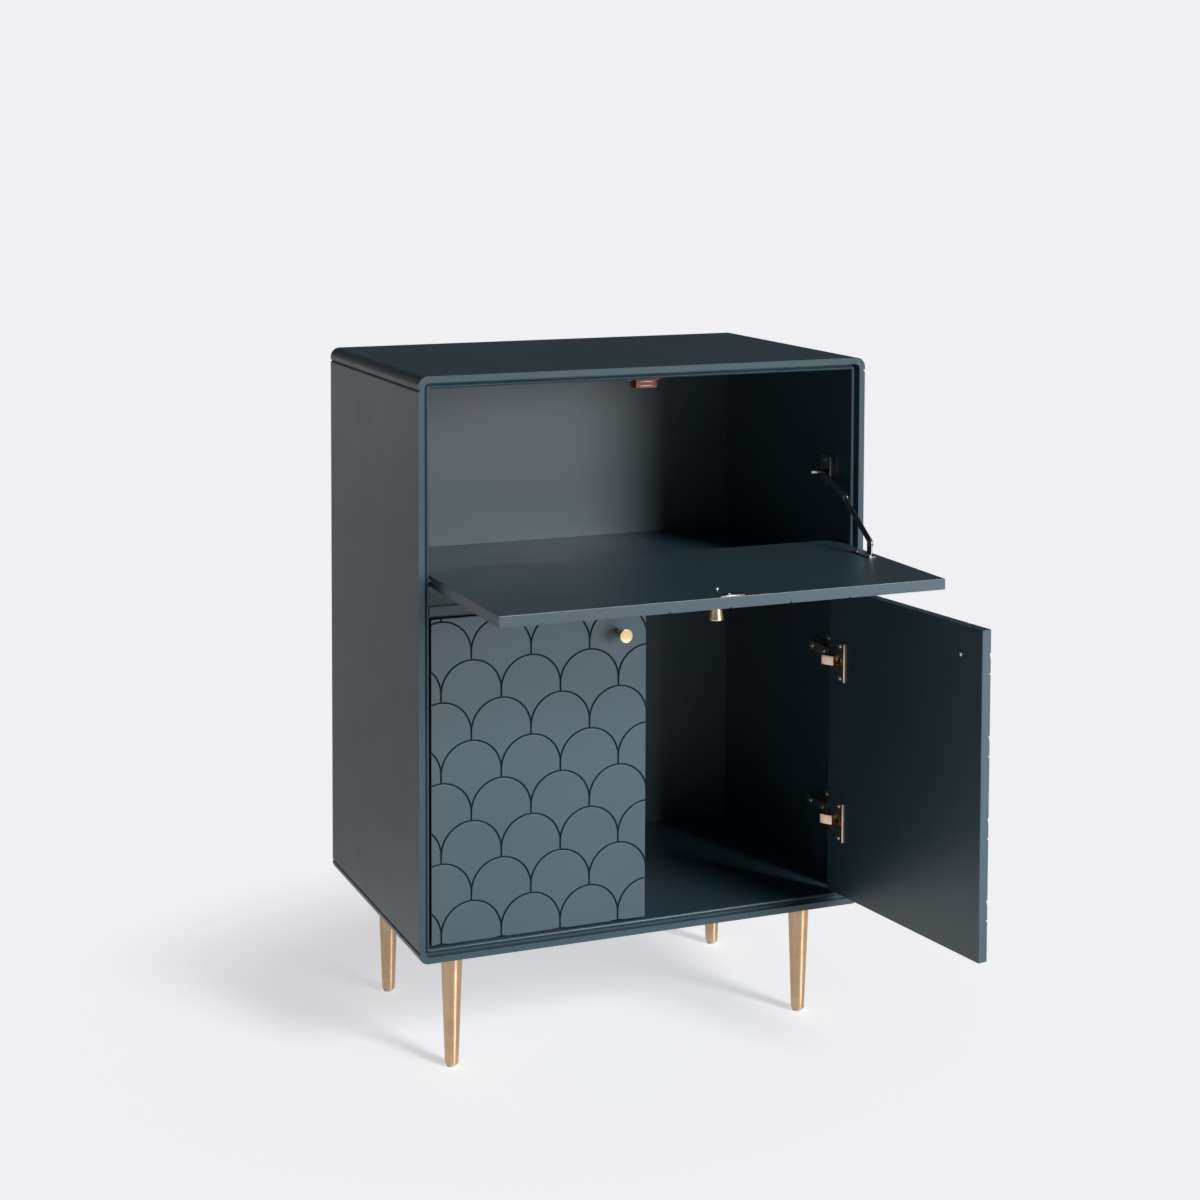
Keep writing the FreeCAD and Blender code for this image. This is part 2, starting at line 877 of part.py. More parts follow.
def make_door(side):
    shape = scaled_front(
        side * size.meeting_gap / 2,
        door_low,
        side * front_half,
        door_high,
    )
    holes = [knob_screw_hole(knob_place(side))]
    for level in hinge_levels.values():
        cup_hole = size.cup_radius + size.hole_clearance
        cup_depth = size.cup_depth + size.hole_clearance
        holes.append(rod(cup_hole, cup_depth, facing(cup_centre(side, level), Y_AXIS), CUP_SIDES))
    holes += [screw_hole(place, size.small_screw_length) for place in cup_screw_places(side)]
    door = doc.addObject("Part::Feature", f"{SIDE_NAMES[side]}_door")
    door.Shape = shape.cut(Part.makeCompound(holes))
    carried(door, f"{SIDE_NAMES[side]}_door", swing[side])


def strike_screw_place():
    """The strike plate's screw, sunk until its head is flush with the plate."""
    face = front_inner_face + size.strike_thickness - size.small_screw_head_height
    height = flap_high - size.strike_edge_distance - size.strike_height / 2
    return facing(point(size.catch_offset, face, height), Y_AXIS)


def strike_screw_hole():
    """The shank's hole with the pocket of the sunk head."""
    place = strike_screw_place()
    reach = size.small_screw_head_height + size.overrun
    top = FreeCAD.Placement(place.Base + Y_AXIS * float(reach), place.Rotation)
    pocket = rod(size.small_screw_head_radius + size.hole_clearance, reach, top)
    return screw_hole(place, size.small_screw_length).fuse(pocket)


def flap_bracket_screw_places():
    """Two screws along the middle of the stay's plate on the flap."""
    across = stay_ear_inner - size.flap_bracket_width / 2
    low = flap_pivot_level + size.stay_ear_place - size.flap_bracket_low
    face = front_inner_face + size.stay_link_metal
    steps = (size.flap_bracket_screw_edge, size.flap_bracket_length - size.flap_bracket_screw_edge)
    return [facing(point(across, face, low + step), Y_AXIS) for step in steps]


def make_flap():
    shape = scaled_front(-front_half, flap_low, front_half, flap_high)
    holes = [knob_screw_hole(flap_knob_place), strike_screw_hole()]
    holes += [screw_hole(place, size.small_screw_length) for place in flap_bracket_screw_places()]
    for side in (LEFT, RIGHT):
        start = point(side * front_half, flap_pivot_back, flap_pivot_level)
        reach = float(size.pin_seat + size.hole_clearance)
        radius = float(size.pin_radius + size.running_clearance)
        holes.append(Part.makeCylinder(radius, reach, start, X_AXIS * -side))
    flap = doc.addObject("Part::Feature", "drop_flap")
    flap.Shape = shape.cut(Part.makeCompound(holes))
    carried(flap, "drop_flap", drop)

    pins = doc.addObject("Part::Cylinder", "flap_pin_pattern")
    bind(pins, "Radius", size.pin_radius)
    bind(pins, "Height", size.side_gap + size.pin_seat * 2)
    doc.recompute()
    places = []
    for side in (LEFT, RIGHT):
        start = point(side * (front_half - size.pin_seat), flap_pivot_back, flap_pivot_level)
        places.append(facing(start, X_AXIS * side))
    copies("flap_pivot_pins", pins, places)


# Knobs: a cone that widens towards its flat face, held by a screw from behind


def make_knob(label, place, carrier):
    thread = size.knob_screw_radius + size.hole_clearance
    depth = size.knob_thread_depth + size.hole_clearance
    cone = taper(f"{label}_turning", size.knob_base_radius, size.knob_face_radius, size.knob_length)
    knob = drilled(cone, label, [rod(thread, depth, facing(FreeCAD.Vector(), -Z_AXIS))])
    knob.Placement = facing(place, -Y_AXIS)
    carried(knob, label, carrier)
    head_place = place + Y_AXIS * float(size.front_thickness)
    screw = copies(f"{label}_screw", knob_screw, [facing(head_place, Y_AXIS)])
    screw.Placement = carrier


# Hinges: a cup in the door, a hooked link, and an arm on a plate on the wall


def prism(label, radius, height, place):
    shape = doc.addObject("Part::Prism", label)
    shape.Polygon = CUP_SIDES
    bind(shape, "Circumradius", radius)
    bind(shape, "Height", height)
    shape.Placement = place
    return shape


def box(label, width, depth, height, place):
    """A box bound to the sheet, centred across its width and depth on its place."""
    shape = doc.addObject("Part::Box", label)
    bind(shape, "Length", width)
    bind(shape, "Width", depth)
    bind(shape, "Height", height)
    shape.Placement = place.multiply(FreeCAD.Placement(point(-width / 2, -depth / 2, 0), FreeCAD.Rotation()))
    return shape


def make_cup(side, row, level):
    """The pressed cup, its mouth pocket and the flange with its two ears."""
    label = f"{SIDE_NAMES[side]}_{row}_hinge_cup"
    mouth = facing(FreeCAD.Vector(), Z_AXIS)
    sunk = FreeCAD.Placement(point(0, 0, -size.cup_depth), FreeCAD.Rotation())
    ear = FreeCAD.Placement(point(-side * size.cup_screw_offset, 0, 0), FreeCAD.Rotation())
    body = prism(f"{label}_shell", size.cup_radius, size.cup_depth, sunk)
    flange = prism(f"{label}_flange", size.cup_radius + size.flange_overlap, size.flange_thickness, mouth)
    ears = box(f"{label}_ears", size.flange_ear_width, size.flange_height, size.flange_thickness, ear)
    solid = doc.addObject("Part::MultiFuse", f"{label}_solid")
    solid.Shapes = [body, flange, ears]
    pocket_depth = size.cup_depth - size.cup_floor
    low = FreeCAD.Placement(point(0, 0, -pocket_depth), FreeCAD.Rotation())
    pocket = box(
        f"{label}_pocket",
        size.cup_pocket_width,
        size.cup_pocket_height,
        pocket_depth + size.flange_thickness + size.overrun,
        low,
    )
    holes = []
    for step in (-1, 1):
        across = -side * size.cup_screw_offset
        place = point(across, step * size.cup_screw_spacing / 2, size.flange_thickness)
        holes.append(screw_hole(facing(place, Z_AXIS), size.small_screw_length))
    ear_holes = doc.addObject("Part::Feature", f"{label}_ear_holes")
    ear_holes.Shape = Part.makeCompound(holes)
    tool = doc.addObject("Part::MultiFuse", f"{label}_tools")
    tool.Shapes = [pocket, ear_holes]
    cup = doc.addObject("Part::Cut", label)
    cup.Base = solid
    cup.Tool = tool
    cup.Placement = facing(cup_centre(side, level), Y_AXIS)
    carried(cup, label, swing[side])


link_pole_shares = ((0, 0), (-1, -0.401), (-0.975, -0.67), (-0.357, -0.5825))


def link_outline(side):
    """The hooked link in plan with the door closed: a smooth curve from its pin, given a thickness."""
    turn = -math.radians(float(size.link_turn))
    reach = float(size.link_reach)
    poles = []
    for across, back in link_pole_shares:
        poles.append(
            FreeCAD.Vector(
                reach * (across * math.cos(turn) - back * math.sin(turn)),
                reach * (across * math.sin(turn) + back * math.cos(turn)),
                0,
            )
        )
    curve = Part.BezierCurve()
    curve.setPoles(poles)
    half = float(size.link_thickness) / 2
    outer = []
    inner = []
    for step in range(LINK_STEPS + 1):
        share = step / LINK_STEPS
        along = curve.tangent(share)[0]
        across = FreeCAD.Vector(-along.y, along.x, 0) * half
        outer.append(curve.value(share) + across)
        inner.append(curve.value(share) - across)
    ring = outer + inner[::-1]
    return [FreeCAD.Vector(side * place.x, place.y, 0) for place in ring]


def link_pin_place(side, level):
    return point(side * (inner_half - size.link_pin_from_wall), front_inner_face + size.link_pin_behind_door, level)


def make_link(side, row, level):
    """The link that carries the door's cup, open at the cup's hidden pivot."""
    label = f"{SIDE_NAMES[side]}_{row}_hinge_link"
    ring = link_outline(side)
    lift = point(0, 0, -size.link_height / 2)
    height = point(0, 0, size.link_height)
    strip = Part.Face(Part.makePolygon(ring + ring[:1])).extrude(height)
    top = facing(height, Z_AXIS)
    eye = rod(size.link_eye_radius, size.link_height, top, PIN_SIDES)
    bore = Part.makeCylinder(float(size.link_pin_radius + size.running_clearance), float(size.link_height))
    shape = strip.fuse(eye).cut(bore).removeSplitter()
    link = doc.addObject("Part::Feature", label)
    link.Shape = shape
    opening = float(size.link_turn) if side == RIGHT else 0
    foot = link_pin_place(side, level) + lift
    link.Placement = FreeCAD.Placement(foot, FreeCAD.Rotation(Z_AXIS, opening))
    keep(link, label)


def make_arm(side, row, level):
    """The channel arm: two cheeks that hold the link's pin, joined by a web further back."""
    label = f"{SIDE_NAMES[side]}_{row}_hinge_arm"
    pin = link_pin_place(side, level)
    wall_face = inner_half - size.plate_metal
    end = front_inner_face + size.arm_end
    web_start = front_inner_face + size.arm_web_start
    room_face = wall_face - size.arm_depth
    height = size.arm_height
    cheeks = []
    nose = size.link_eye_radius + size.hole_clearance
    for step in (-1, 1):
        sheet_low = level + step * (height / 2) - (size.arm_metal if step > 0 else 0)
        cheek = block(side * room_face, web_start, sheet_low, side * wall_face, end, sheet_low + size.arm_metal)
        centre = FreeCAD.Vector(pin.x, pin.y, float(sheet_low))
        eye = rod(nose, size.arm_metal, facing(centre + Z_AXIS * float(size.arm_metal), Z_AXIS), PIN_SIDES)
        ring = [
            (pin.x - side * float(nose), pin.y),
            (pin.x + side * float(nose), pin.y),
            (side * float(wall_face), float(web_start)),
            (side * float(room_face), float(web_start)),
        ]
        corners = [point(across, back, sheet_low) for across, back in ring]
        neck = Part.Face(Part.makePolygon(corners + corners[:1])).extrude(point(0, 0, size.arm_metal))
        cheeks += [cheek, eye, neck]
    web = block(
        side * room_face,
        web_start,
        level - height / 2,
        side * (room_face + size.arm_metal),
        end,
        level + height / 2,
    )
    pin_top = FreeCAD.Vector(pin.x, pin.y, float(level + height / 2))
    pin_solid = rod(size.link_pin_radius, height, facing(pin_top, Z_AXIS), PIN_SIDES)
    arm = doc.addObject("Part::Feature", label)
    arm.Shape = cheeks[0].multiFuse(cheeks[1:] + [web, pin_solid]).removeSplitter()
    keep(arm, label)


def make_plate(side, row, level):
    """The cross-shaped mounting plate on the side wall."""
    label = f"{SIDE_NAMES[side]}_{row}_hinge_plate"
    half = size.plate_height / 2
    wing = size.plate_wing_height / 2
    start = front_inner_face + size.plate_start
    end = front_inner_face + size.plate_end
    wing_start = plate_row - size.plate_wing_width / 2
    wing_end = plate_row + size.plate_wing_width / 2
    shift = inner_half - size.plate_metal if side == RIGHT else -inner_half
    body = pad(
        f"{label}_pressing",
        "YZ_Plane",
        shift,
        [
            (start, level - half),
            (wing_start, level - half),
            (wing_start, level - wing),
            (wing_end, level - wing),
            (wing_end, level - half),
            (end, level - half),
            (end, level + half),
            (wing_end, level + half),
            (wing_end, level + wing),
            (wing_start, level + wing),
            (wing_start, level + half),
            (start, level + half),
        ],
        size.plate_metal,
    )
    tools = []
    for step in (-1, 1):
        height = level + step * size.plate_screw_spacing / 2
        face = point(side * (inner_half - size.plate_metal), plate_row, height)
        tools.append(screw_hole(facing(face, X_AXIS * -side), size.small_screw_length))
    cut_away(label, body, tools)


def make_hinges():
    for side in (LEFT, RIGHT):
        for row, level in hinge_levels.items():
            make_cup(side, row, level)
            make_link(side, row, level)
            make_arm(side, row, level)
            make_plate(side, row, level)
        group = copies(f"{SIDE_NAMES[side]}_door_cup_screws", small_screw, cup_screw_places(side))
        group.Placement = swing[side]
    places = plate_screw_places(LEFT) + plate_screw_places(RIGHT)
    copies("hinge_plate_screws", small_screw, places)


# Flap stay: two flat links between a bracket on the right wall and an eared plate on the flap

stay_upper_outer = inner_half - size.stay_link_from_wall
stay_upper_inner = stay_upper_outer - size.stay_link_metal
stay_lower_outer = stay_upper_inner - size.stay_link_gap
stay_lower_inner = stay_lower_outer - size.stay_link_metal
stay_ear_outer = stay_lower_inner - size.stay_link_gap
stay_ear_inner = stay_ear_outer - size.stay_link_metal


def stay_elbow():
    """The angles of the two links with the flap down, from the lengths of the links."""
    reach_back = float(flap_pivot_back - size.stay_ear_place - stay_pivot_back)
    ear_height = size.front_thickness - size.flap_pivot_depth + size.stay_ear_height
    reach_up = float(flap_pivot_level + ear_height - stay_pivot_level)
    upper = float(size.stay_upper_length)
    lower = float(size.stay_lower_length)
    reach = math.hypot(reach_back, reach_up)
    share = (upper * upper + reach * reach - lower * lower) / (2 * upper * reach)
    bearing = math.atan2(reach_up, reach_back)
    upper_turn = bearing - math.acos(max(-1, min(1, share)))
    elbow_back = upper * math.cos(upper_turn)
    elbow_up = upper * math.sin(upper_turn)
    lower_turn = math.atan2(reach_up - elbow_up, reach_back - elbow_back)
    return upper_turn, elbow_back, elbow_up, lower_turn


def flat_link(label, length, radius, hole_one, hole_two, metal, inner_face):
    """A flat bar with round ends, drawn from its first pin along its own Y axis."""
    bar = pad(
        f"{label}_bar",
        "YZ_Plane",
        inner_face,
        [
            (0, -radius, radius),
            (length, -radius),
            (length + radius, 0, radius),
            (length, radius, radius),
            (0, radius),
            (-radius, 0, radius),
        ],
        metal,
    )
    holes = []
    for back, hole in ((0, hole_one), (length, hole_two)):
        holes.append(Part.makeCylinder(float(hole), float(metal), point(inner_face, back, 0), X_AXIS))
    return drilled(bar, label, holes)


def round_pin(label, steps):
    """A turned pin along X, as a stack of (radius, start, end) steps, joined."""
    parts = []
    for number, (radius, start, end) in enumerate(steps):
        part = doc.addObject("Part::Prism", f"{label}_{number}")
        part.Polygon = PIN_SIDES
        bind(part, "Circumradius", radius)
        bind(part, "Height", end - start)
        part.Placement = facing(point(start, 0, 0), X_AXIS)
        parts.append(part)
    pin = doc.addObject("Part::MultiFuse", label)
    pin.Shapes = parts
    return pin


def make_stay():
    upper_turn, elbow_back, elbow_up, lower_turn = stay_elbow()
    pivot = point(0, stay_pivot_back, stay_pivot_level)
    elbow = pivot + FreeCAD.Vector(0, elbow_back, elbow_up)
    radius = size.stay_link_radius
    metal = size.stay_link_metal
    running = size.running_clearance

    upper = flat_link(
        "stay_upper_link",
        size.stay_upper_length,
        radius,
        size.stay_bolt_radius + running,
        size.stay_pin_radius + running,
        metal,
        stay_upper_inner,
    )
    upper.Placement = FreeCAD.Placement(pivot, FreeCAD.Rotation(X_AXIS, math.degrees(upper_turn)))
    keep(upper, "stay_upper_link")
    lower = flat_link(
        "stay_lower_link",
        size.stay_lower_length,
        radius,
        size.stay_pin_radius + running,
        size.stay_pin_radius + running,
        metal,
        stay_lower_inner,
    )
    lower.Placement = FreeCAD.Placement(elbow, FreeCAD.Rotation(X_AXIS, math.degrees(lower_turn)))
    keep(lower, "stay_lower_link")

    head = size.stay_rivet_head_radius
    rise = size.stay_rivet_head_height
    elbow_rivet = round_pin(
        "stay_elbow_rivet",
        [
            (head, stay_lower_inner - rise, stay_lower_inner),
            (size.stay_pin_radius, stay_lower_inner, stay_upper_inner - size.thin_clearance),
        ],
    )
    elbow_rivet.Placement = FreeCAD.Placement(elbow, FreeCAD.Rotation())
    keep(elbow_rivet, "stay_elbow_rivet")

    ear_height = size.stay_ear_height
    ear_place = point(0, front_inner_face + ear_height, flap_pivot_level + size.stay_ear_place)
    flap_rivet = round_pin(
        "stay_flap_rivet",
        [
            (head, stay_ear_inner - rise, stay_ear_inner),
            (size.stay_pin_radius, stay_ear_inner, stay_lower_outer),
        ],
    )
    flap_rivet.Placement = FreeCAD.Placement(ear_place, FreeCAD.Rotation())
    carried(flap_rivet, "stay_flap_rivet", drop)
    make_flap_bracket(ear_place)

    bolt = round_pin(
        "stay_pivot_bolt",
        [
            (
                size.stay_bolt_head_radius,
                stay_upper_inner - size.thin_clearance - size.stay_bolt_head_length,
                stay_upper_inner - size.thin_clearance,
            ),
            (
                size.stay_bolt_radius,
                stay_upper_inner - size.thin_clearance,
                inner_half + size.small_screw_length - size.hole_clearance,
            ),
            (
                size.stay_bolt_head_radius,
                stay_upper_outer + size.thin_clearance,
                inner_half - metal,
            ),
        ],
    )
    bolt.Placement = FreeCAD.Placement(pivot, FreeCAD.Rotation())
    keep(bolt, "stay_pivot_bolt")
    make_wall_bracket()


def make_flap_bracket(ear_place):
    """A plate screwed to the flap's inner face with a round-topped ear for the lower link."""
    metal = size.stay_link_metal
    round_radius = size.flap_bracket_ear_radius
    low = flap_pivot_level + size.stay_ear_place - size.flap_bracket_low
    plate = block(
        stay_ear_outer - size.flap_bracket_width,
        front_inner_face,
        low,
        stay_ear_outer,
        front_inner_face + metal,
        low + size.flap_bracket_length,
    )
    height = ear_place.z
    ear = block(
        stay_ear_inner,
        front_inner_face,
        height - float(round_radius),
        stay_ear_outer,
        ear_place.y,
        height + float(round_radius),
    )
    crown_start = point(stay_ear_inner, ear_place.y, height)
    across = facing(crown_start, -X_AXIS)
    crown = rod(round_radius, metal, across, CUP_SIDES)
    bore = rod(size.stay_pin_radius + size.running_clearance, metal, across, PIN_SIDES)
    holes = [screw_hole(place, size.small_screw_length) for place in flap_bracket_screw_places()]
    bracket = doc.addObject("Part::Feature", "stay_flap_bracket")
    bracket.Shape = plate.multiFuse([ear, crown]).cut(Part.makeCompound([bore] + holes)).removeSplitter()
    carried(bracket, "stay_flap_bracket", drop)
    screws = copies("stay_flap_bracket_screws", small_screw, flap_bracket_screw_places())
    screws.Placement = drop


def make_wall_bracket():
    """The angle on the right wall: a plate behind the pivot with a lip along its front edge."""
    metal = size.stay_link_metal
    start = stay_pivot_back - size.wall_bracket_front
    low = stay_pivot_level - size.wall_bracket_drop
    high = low + size.wall_bracket_height
    face = inner_half - metal
    body = pad(
        "stay_wall_bracket_pressing",
        "XY_Plane",
        low,
        [
            (inner_half, start),
            (inner_half, start + size.wall_bracket_width),
            (face, start + size.wall_bracket_width),
            (face, start + metal),
            (inner_half - size.wall_bracket_lip, start + metal),
            (inner_half - size.wall_bracket_lip, start),
        ],
        high - low,
    )
    bolt_place = facing(point(face, stay_pivot_back, stay_pivot_level), -X_AXIS)
    tools = [
        screw_hole(wall_bracket_screw_place(), size.small_screw_length),
        rod(size.stay_bolt_radius + size.hole_clearance, metal * 2, bolt_place, PIN_SIDES),
    ]
    cut_away("stay_wall_bracket", body, tools)
    copies("stay_wall_bracket_screws", small_screw, [wall_bracket_screw_place()])

    ring_level = low - size.curl_tail
    ring_back = stay_pivot_back + size.wall_bracket_front / 2
    centre = point(inner_half - (metal - size.curl_wire) / 2, ring_back, ring_level)
    across = facing(centre, X_AXIS)
    outer = rod(size.curl_radius + size.curl_wire, size.curl_wire, across, CURL_SIDES)
    inner = rod(size.curl_radius, size.curl_wire, across, CURL_SIDES)
    tail = block(
        float(centre.x) - float(size.curl_wire),
        centre.y - float(size.curl_wire) / 2,
        centre.z + float(size.curl_radius),
        centre.x,
        centre.y + float(size.curl_wire) / 2,
        float(low),
    )
    curl = doc.addObject("Part::Feature", "stay_wire_curl")
    curl.Shape = outer.cut(inner).fuse(tail).removeSplitter()
    keep(curl, "stay_wire_curl")


# Magnetic catch under the top board and its strike plate on the flap


def make_catch():
    across = size.catch_offset
    low = ceiling_level - size.catch_height
    flange_low = ceiling_level - size.catch_flange_height
    half_body = size.catch_width / 2
    half_flange = size.catch_flange_width / 2
    body = pad(
        "catch_moulding",
        "XZ_Plane",
        -(catch_front + size.catch_depth),
        [
            (across - half_body, low),
            (across + half_body, low),
            (across + half_body, flange_low),
            (across + half_flange, flange_low),
            (across + half_flange, ceiling_level),
            (across - half_flange, ceiling_level),
            (across - half_flange, flange_low),
            (across - half_body, flange_low),
        ],
        size.catch_depth,
    )
    slots = []
    poles = []
    middle = (low + flange_low) / 2
    thickness = size.pole_thickness / 2
    for step in (-1, 1):
        level = middle + step * size.pole_spacing / 2
        back = catch_front + size.catch_depth / 2
        half = size.pole_width / 2
        slots.append(
            block(
                across - half,
                catch_front - size.overrun,
                level - thickness,
                across + half,
                back,
                level + thickness,
            )
        )
        poles.append(
            block(
                across - half,
                catch_front - size.catch_air_gap / 2,
                level - thickness,
                across + half,
                back,
                level + thickness,
            )
        )
    tools = slots + [screw_hole(place, size.small_screw_length) for place in catch_screw_places()]
    cut_away("catch_housing", body, tools)
    strips = doc.addObject("Part::Feature", "catch_pole_strips")
    strips.Shape = Part.makeCompound(poles)
    keep(strips, "catch_pole_strips")
    copies("catch_screws", small_screw, catch_screw_places())

    strike_low = flap_high - size.strike_edge_distance - size.strike_height
    half_strike = size.strike_width / 2
    strike = pad(
        "strike_pressing",
        "XZ_Plane",
        -(front_inner_face + size.strike_thickness),
        rectangle(across - half_strike, strike_low, across + half_strike, strike_low + size.strike_height),
        size.strike_thickness,
    )
    tool = doc.addObject("Part::Feature", "strike_plate_hole")
    tool.Shape = strike_screw_hole()
    strike.Label = "strike_plate_blank"
    plate = doc.addObject("Part::Cut", "strike_plate")
    plate.Base = strike
    plate.Tool = tool
    carried(plate, "strike_plate", drop)
    screw = copies("strike_plate_screw", small_screw, [strike_screw_place()])
    screw.Placement = drop


# Legs: tapered turnings on glides, held to the bottom board by studs


def make_legs():
    glide = size.glide_height
    length = size.leg_clearance - glide
    stem = size.glide_stem_radius + size.hole_clearance
    stem_depth = size.glide_stem_length + size.hole_clearance
    stud = size.stud_radius + size.hole_clearance
    stud_depth = size.stud_in_leg + size.hole_clearance
    places = []
    for row, back in leg_rows.items():
        for side in (LEFT, RIGHT):
            label = f"{SIDE_NAMES[side]}_{row}_leg"
            blank = taper(f"{label}_turning", size.leg_foot_radius, size.leg_top_radius, length)
            tools = [
                rod(stem, stem_depth, facing(FreeCAD.Vector(), -Z_AXIS)),
                rod(stud, stud_depth, facing(Z_AXIS * float(length), Z_AXIS)),
            ]
            leg = drilled(blank, label, tools)
            place = point(side * leg_across, back, 0)
            leg.Placement = FreeCAD.Placement(place + Z_AXIS * float(glide), FreeCAD.Rotation())
            keep(leg, label)
            places.append(place)
    disc = doc.addObject("Part::Prism", "glide_disc")
    disc.Polygon = CUP_SIDES
    bind(disc, "Circumradius", size.glide_radius)
    bind(disc, "Height", glide)
    stem_rod = doc.addObject("Part::Prism", "glide_stem")
    stem_rod.Polygon = SCREW_SIDES
    bind(stem_rod, "Circumradius", size.glide_stem_radius)
    bind(stem_rod, "Height", glide + size.glide_stem_length)
    pattern = doc.addObject("Part::MultiFuse", "glide_pattern")
    pattern.Shapes = [disc, stem_rod]
    studs = doc.addObject("Part::Prism", "stud_pattern")
    studs.Polygon = SCREW_SIDES
    bind(studs, "Circumradius", size.stud_radius)
    bind(studs, "Height", size.stud_in_leg + size.stud_in_board)
    doc.recompute()
    copies("leg_glides", pattern, [FreeCAD.Placement(place, FreeCAD.Rotation()) for place in places])
    foot = Z_AXIS * float(size.leg_clearance - size.stud_in_leg)
    copies("leg_studs", studs, [FreeCAD.Placement(place + foot, FreeCAD.Rotation()) for place in places])


make_carcass()
make_flap()
for door_side in (LEFT, RIGHT):
    make_door(door_side)
    make_knob(f"{SIDE_NAMES[door_side]}_door_knob", knob_place(door_side), swing[door_side])
make_knob("flap_knob", flap_knob_place, drop)
make_hinges()
make_stay()
make_catch()
make_legs()
doc.recompute()

# Frame: the origin is on the floor, under the middle of the whole box with the flap and the right
# door open, to a tenth of a millimetre

whole = Part.makeCompound([node.Shape for node in nodes]).BoundBox
shift = point(-round(whole.Center.x, 1), -round(whole.Center.y, 1), 0)
for node in nodes:
    node.Placement = FreeCAD.Placement(shift, FreeCAD.Rotation()).multiply(node.Placement)
doc.recompute()
print("carcass moved by", shift.x, shift.y, "mm")

for item in doc.Objects:
    if "Invalid" in item.State or "Error" in item.State:
        raise RuntimeError(f"{item.Label} did not build: {item.State}")
for node in nodes:
    if node.Shape.isNull() or not node.Shape.isValid() or not node.Shape.Solids:
        raise RuntimeError(f"{node.Label} has no valid solid")
os.makedirs("parts", exist_ok=True)
for node in nodes:
    node.Shape.exportStep(f"parts/{node.Label}.step")
print(len(nodes), "nodes")
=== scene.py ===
import bmesh
import bpy
import json
import math
from mathutils import Matrix, Vector


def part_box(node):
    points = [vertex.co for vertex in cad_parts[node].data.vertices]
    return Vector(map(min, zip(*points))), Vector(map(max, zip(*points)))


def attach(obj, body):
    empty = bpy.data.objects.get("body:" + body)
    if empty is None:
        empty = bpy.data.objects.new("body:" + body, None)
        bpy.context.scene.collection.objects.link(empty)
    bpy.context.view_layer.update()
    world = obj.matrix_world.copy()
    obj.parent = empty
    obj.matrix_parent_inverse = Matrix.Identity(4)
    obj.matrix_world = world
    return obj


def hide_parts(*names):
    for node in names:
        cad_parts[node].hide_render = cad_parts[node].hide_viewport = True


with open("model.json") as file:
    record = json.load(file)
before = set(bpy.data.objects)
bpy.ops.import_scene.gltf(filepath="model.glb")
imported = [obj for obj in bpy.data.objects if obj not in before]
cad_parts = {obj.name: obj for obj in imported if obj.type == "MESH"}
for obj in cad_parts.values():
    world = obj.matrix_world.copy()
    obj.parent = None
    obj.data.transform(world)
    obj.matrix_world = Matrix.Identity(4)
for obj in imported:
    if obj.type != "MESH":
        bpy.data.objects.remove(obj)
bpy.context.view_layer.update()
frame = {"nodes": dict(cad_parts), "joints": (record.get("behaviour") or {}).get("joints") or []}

# Carcass boards: the top, bottom and two side boards, the shelf between the two compartments
# and the thin back. Lacquered board, 18 mm thick, with a step, a hollow cove and a small bead
# run round the front opening. The boards meet at V seams under the top and over the bottom.


def satin_lacquer(name, colour, roughness, cloud=0.06, peel=0.035, gleam=0.65):
    """A sprayed or moulded surface: a slightly cloudy colour and a faint orange peel."""
    finish = bpy.data.materials.new(name)
    finish.use_nodes = True
    nodes = finish.node_tree.nodes
    links = finish.node_tree.links
    shader = nodes["Principled BSDF"]
    shader.inputs["Specular IOR Level"].default_value = gleam
    place = nodes.new("ShaderNodeTexCoord")
    clouds = nodes.new("ShaderNodeTexNoise")
    clouds.inputs["Scale"].default_value = 2.6
    clouds.inputs["Detail"].default_value = 3.0
    links.new(place.outputs["Object"], clouds.inputs["Vector"])
    tint = nodes.new("ShaderNodeValToRGB")
    tint.color_ramp.elements[0].position = 0.25
    tint.color_ramp.elements[1].position = 0.75
    tint.color_ramp.elements[0].color = [part * (1 - cloud) for part in colour] + [1]
    tint.color_ramp.elements[1].color = [part * (1 + cloud) for part in colour] + [1]
    links.new(clouds.outputs["Fac"], tint.inputs["Fac"])
    links.new(tint.outputs["Color"], shader.inputs["Base Color"])
    rub = nodes.new("ShaderNodeTexNoise")
    rub.inputs["Scale"].default_value = 14.0
    rub.inputs["Detail"].default_value = 4.0
    links.new(place.outputs["Object"], rub.inputs["Vector"])
    gloss = nodes.new("ShaderNodeMapRange")
    gloss.inputs["To Min"].default_value = roughness - 0.04
    gloss.inputs["To Max"].default_value = roughness + 0.05
    links.new(rub.outputs["Fac"], gloss.inputs["Value"])
    links.new(gloss.outputs["Result"], shader.inputs["Roughness"])
    grain = nodes.new("ShaderNodeTexNoise")
    grain.inputs["Scale"].default_value = 620.0
    grain.inputs["Detail"].default_value = 2.0
    links.new(place.outputs["Object"], grain.inputs["Vector"])
    bump = nodes.new("ShaderNodeBump")
    bump.inputs["Strength"].default_value = peel
    bump.inputs["Distance"].default_value = 0.0006
    links.new(grain.outputs["Fac"], bump.inputs["Height"])
    links.new(bump.outputs["Normal"], shader.inputs["Normal"])
    return finish


def finished(piece, finish, body, slot, *nodes):
    """Gives a piece its finish and its body, and hides the solids that it stands for."""
    piece.data.materials.clear()
    piece.data.materials.append(finish)
    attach(piece, body)
    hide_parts(*nodes)
    return piece


def placed(name, mesh):
    piece = bpy.data.objects.new(name, mesh)
    bpy.context.scene.collection.objects.link(piece)
    return piece


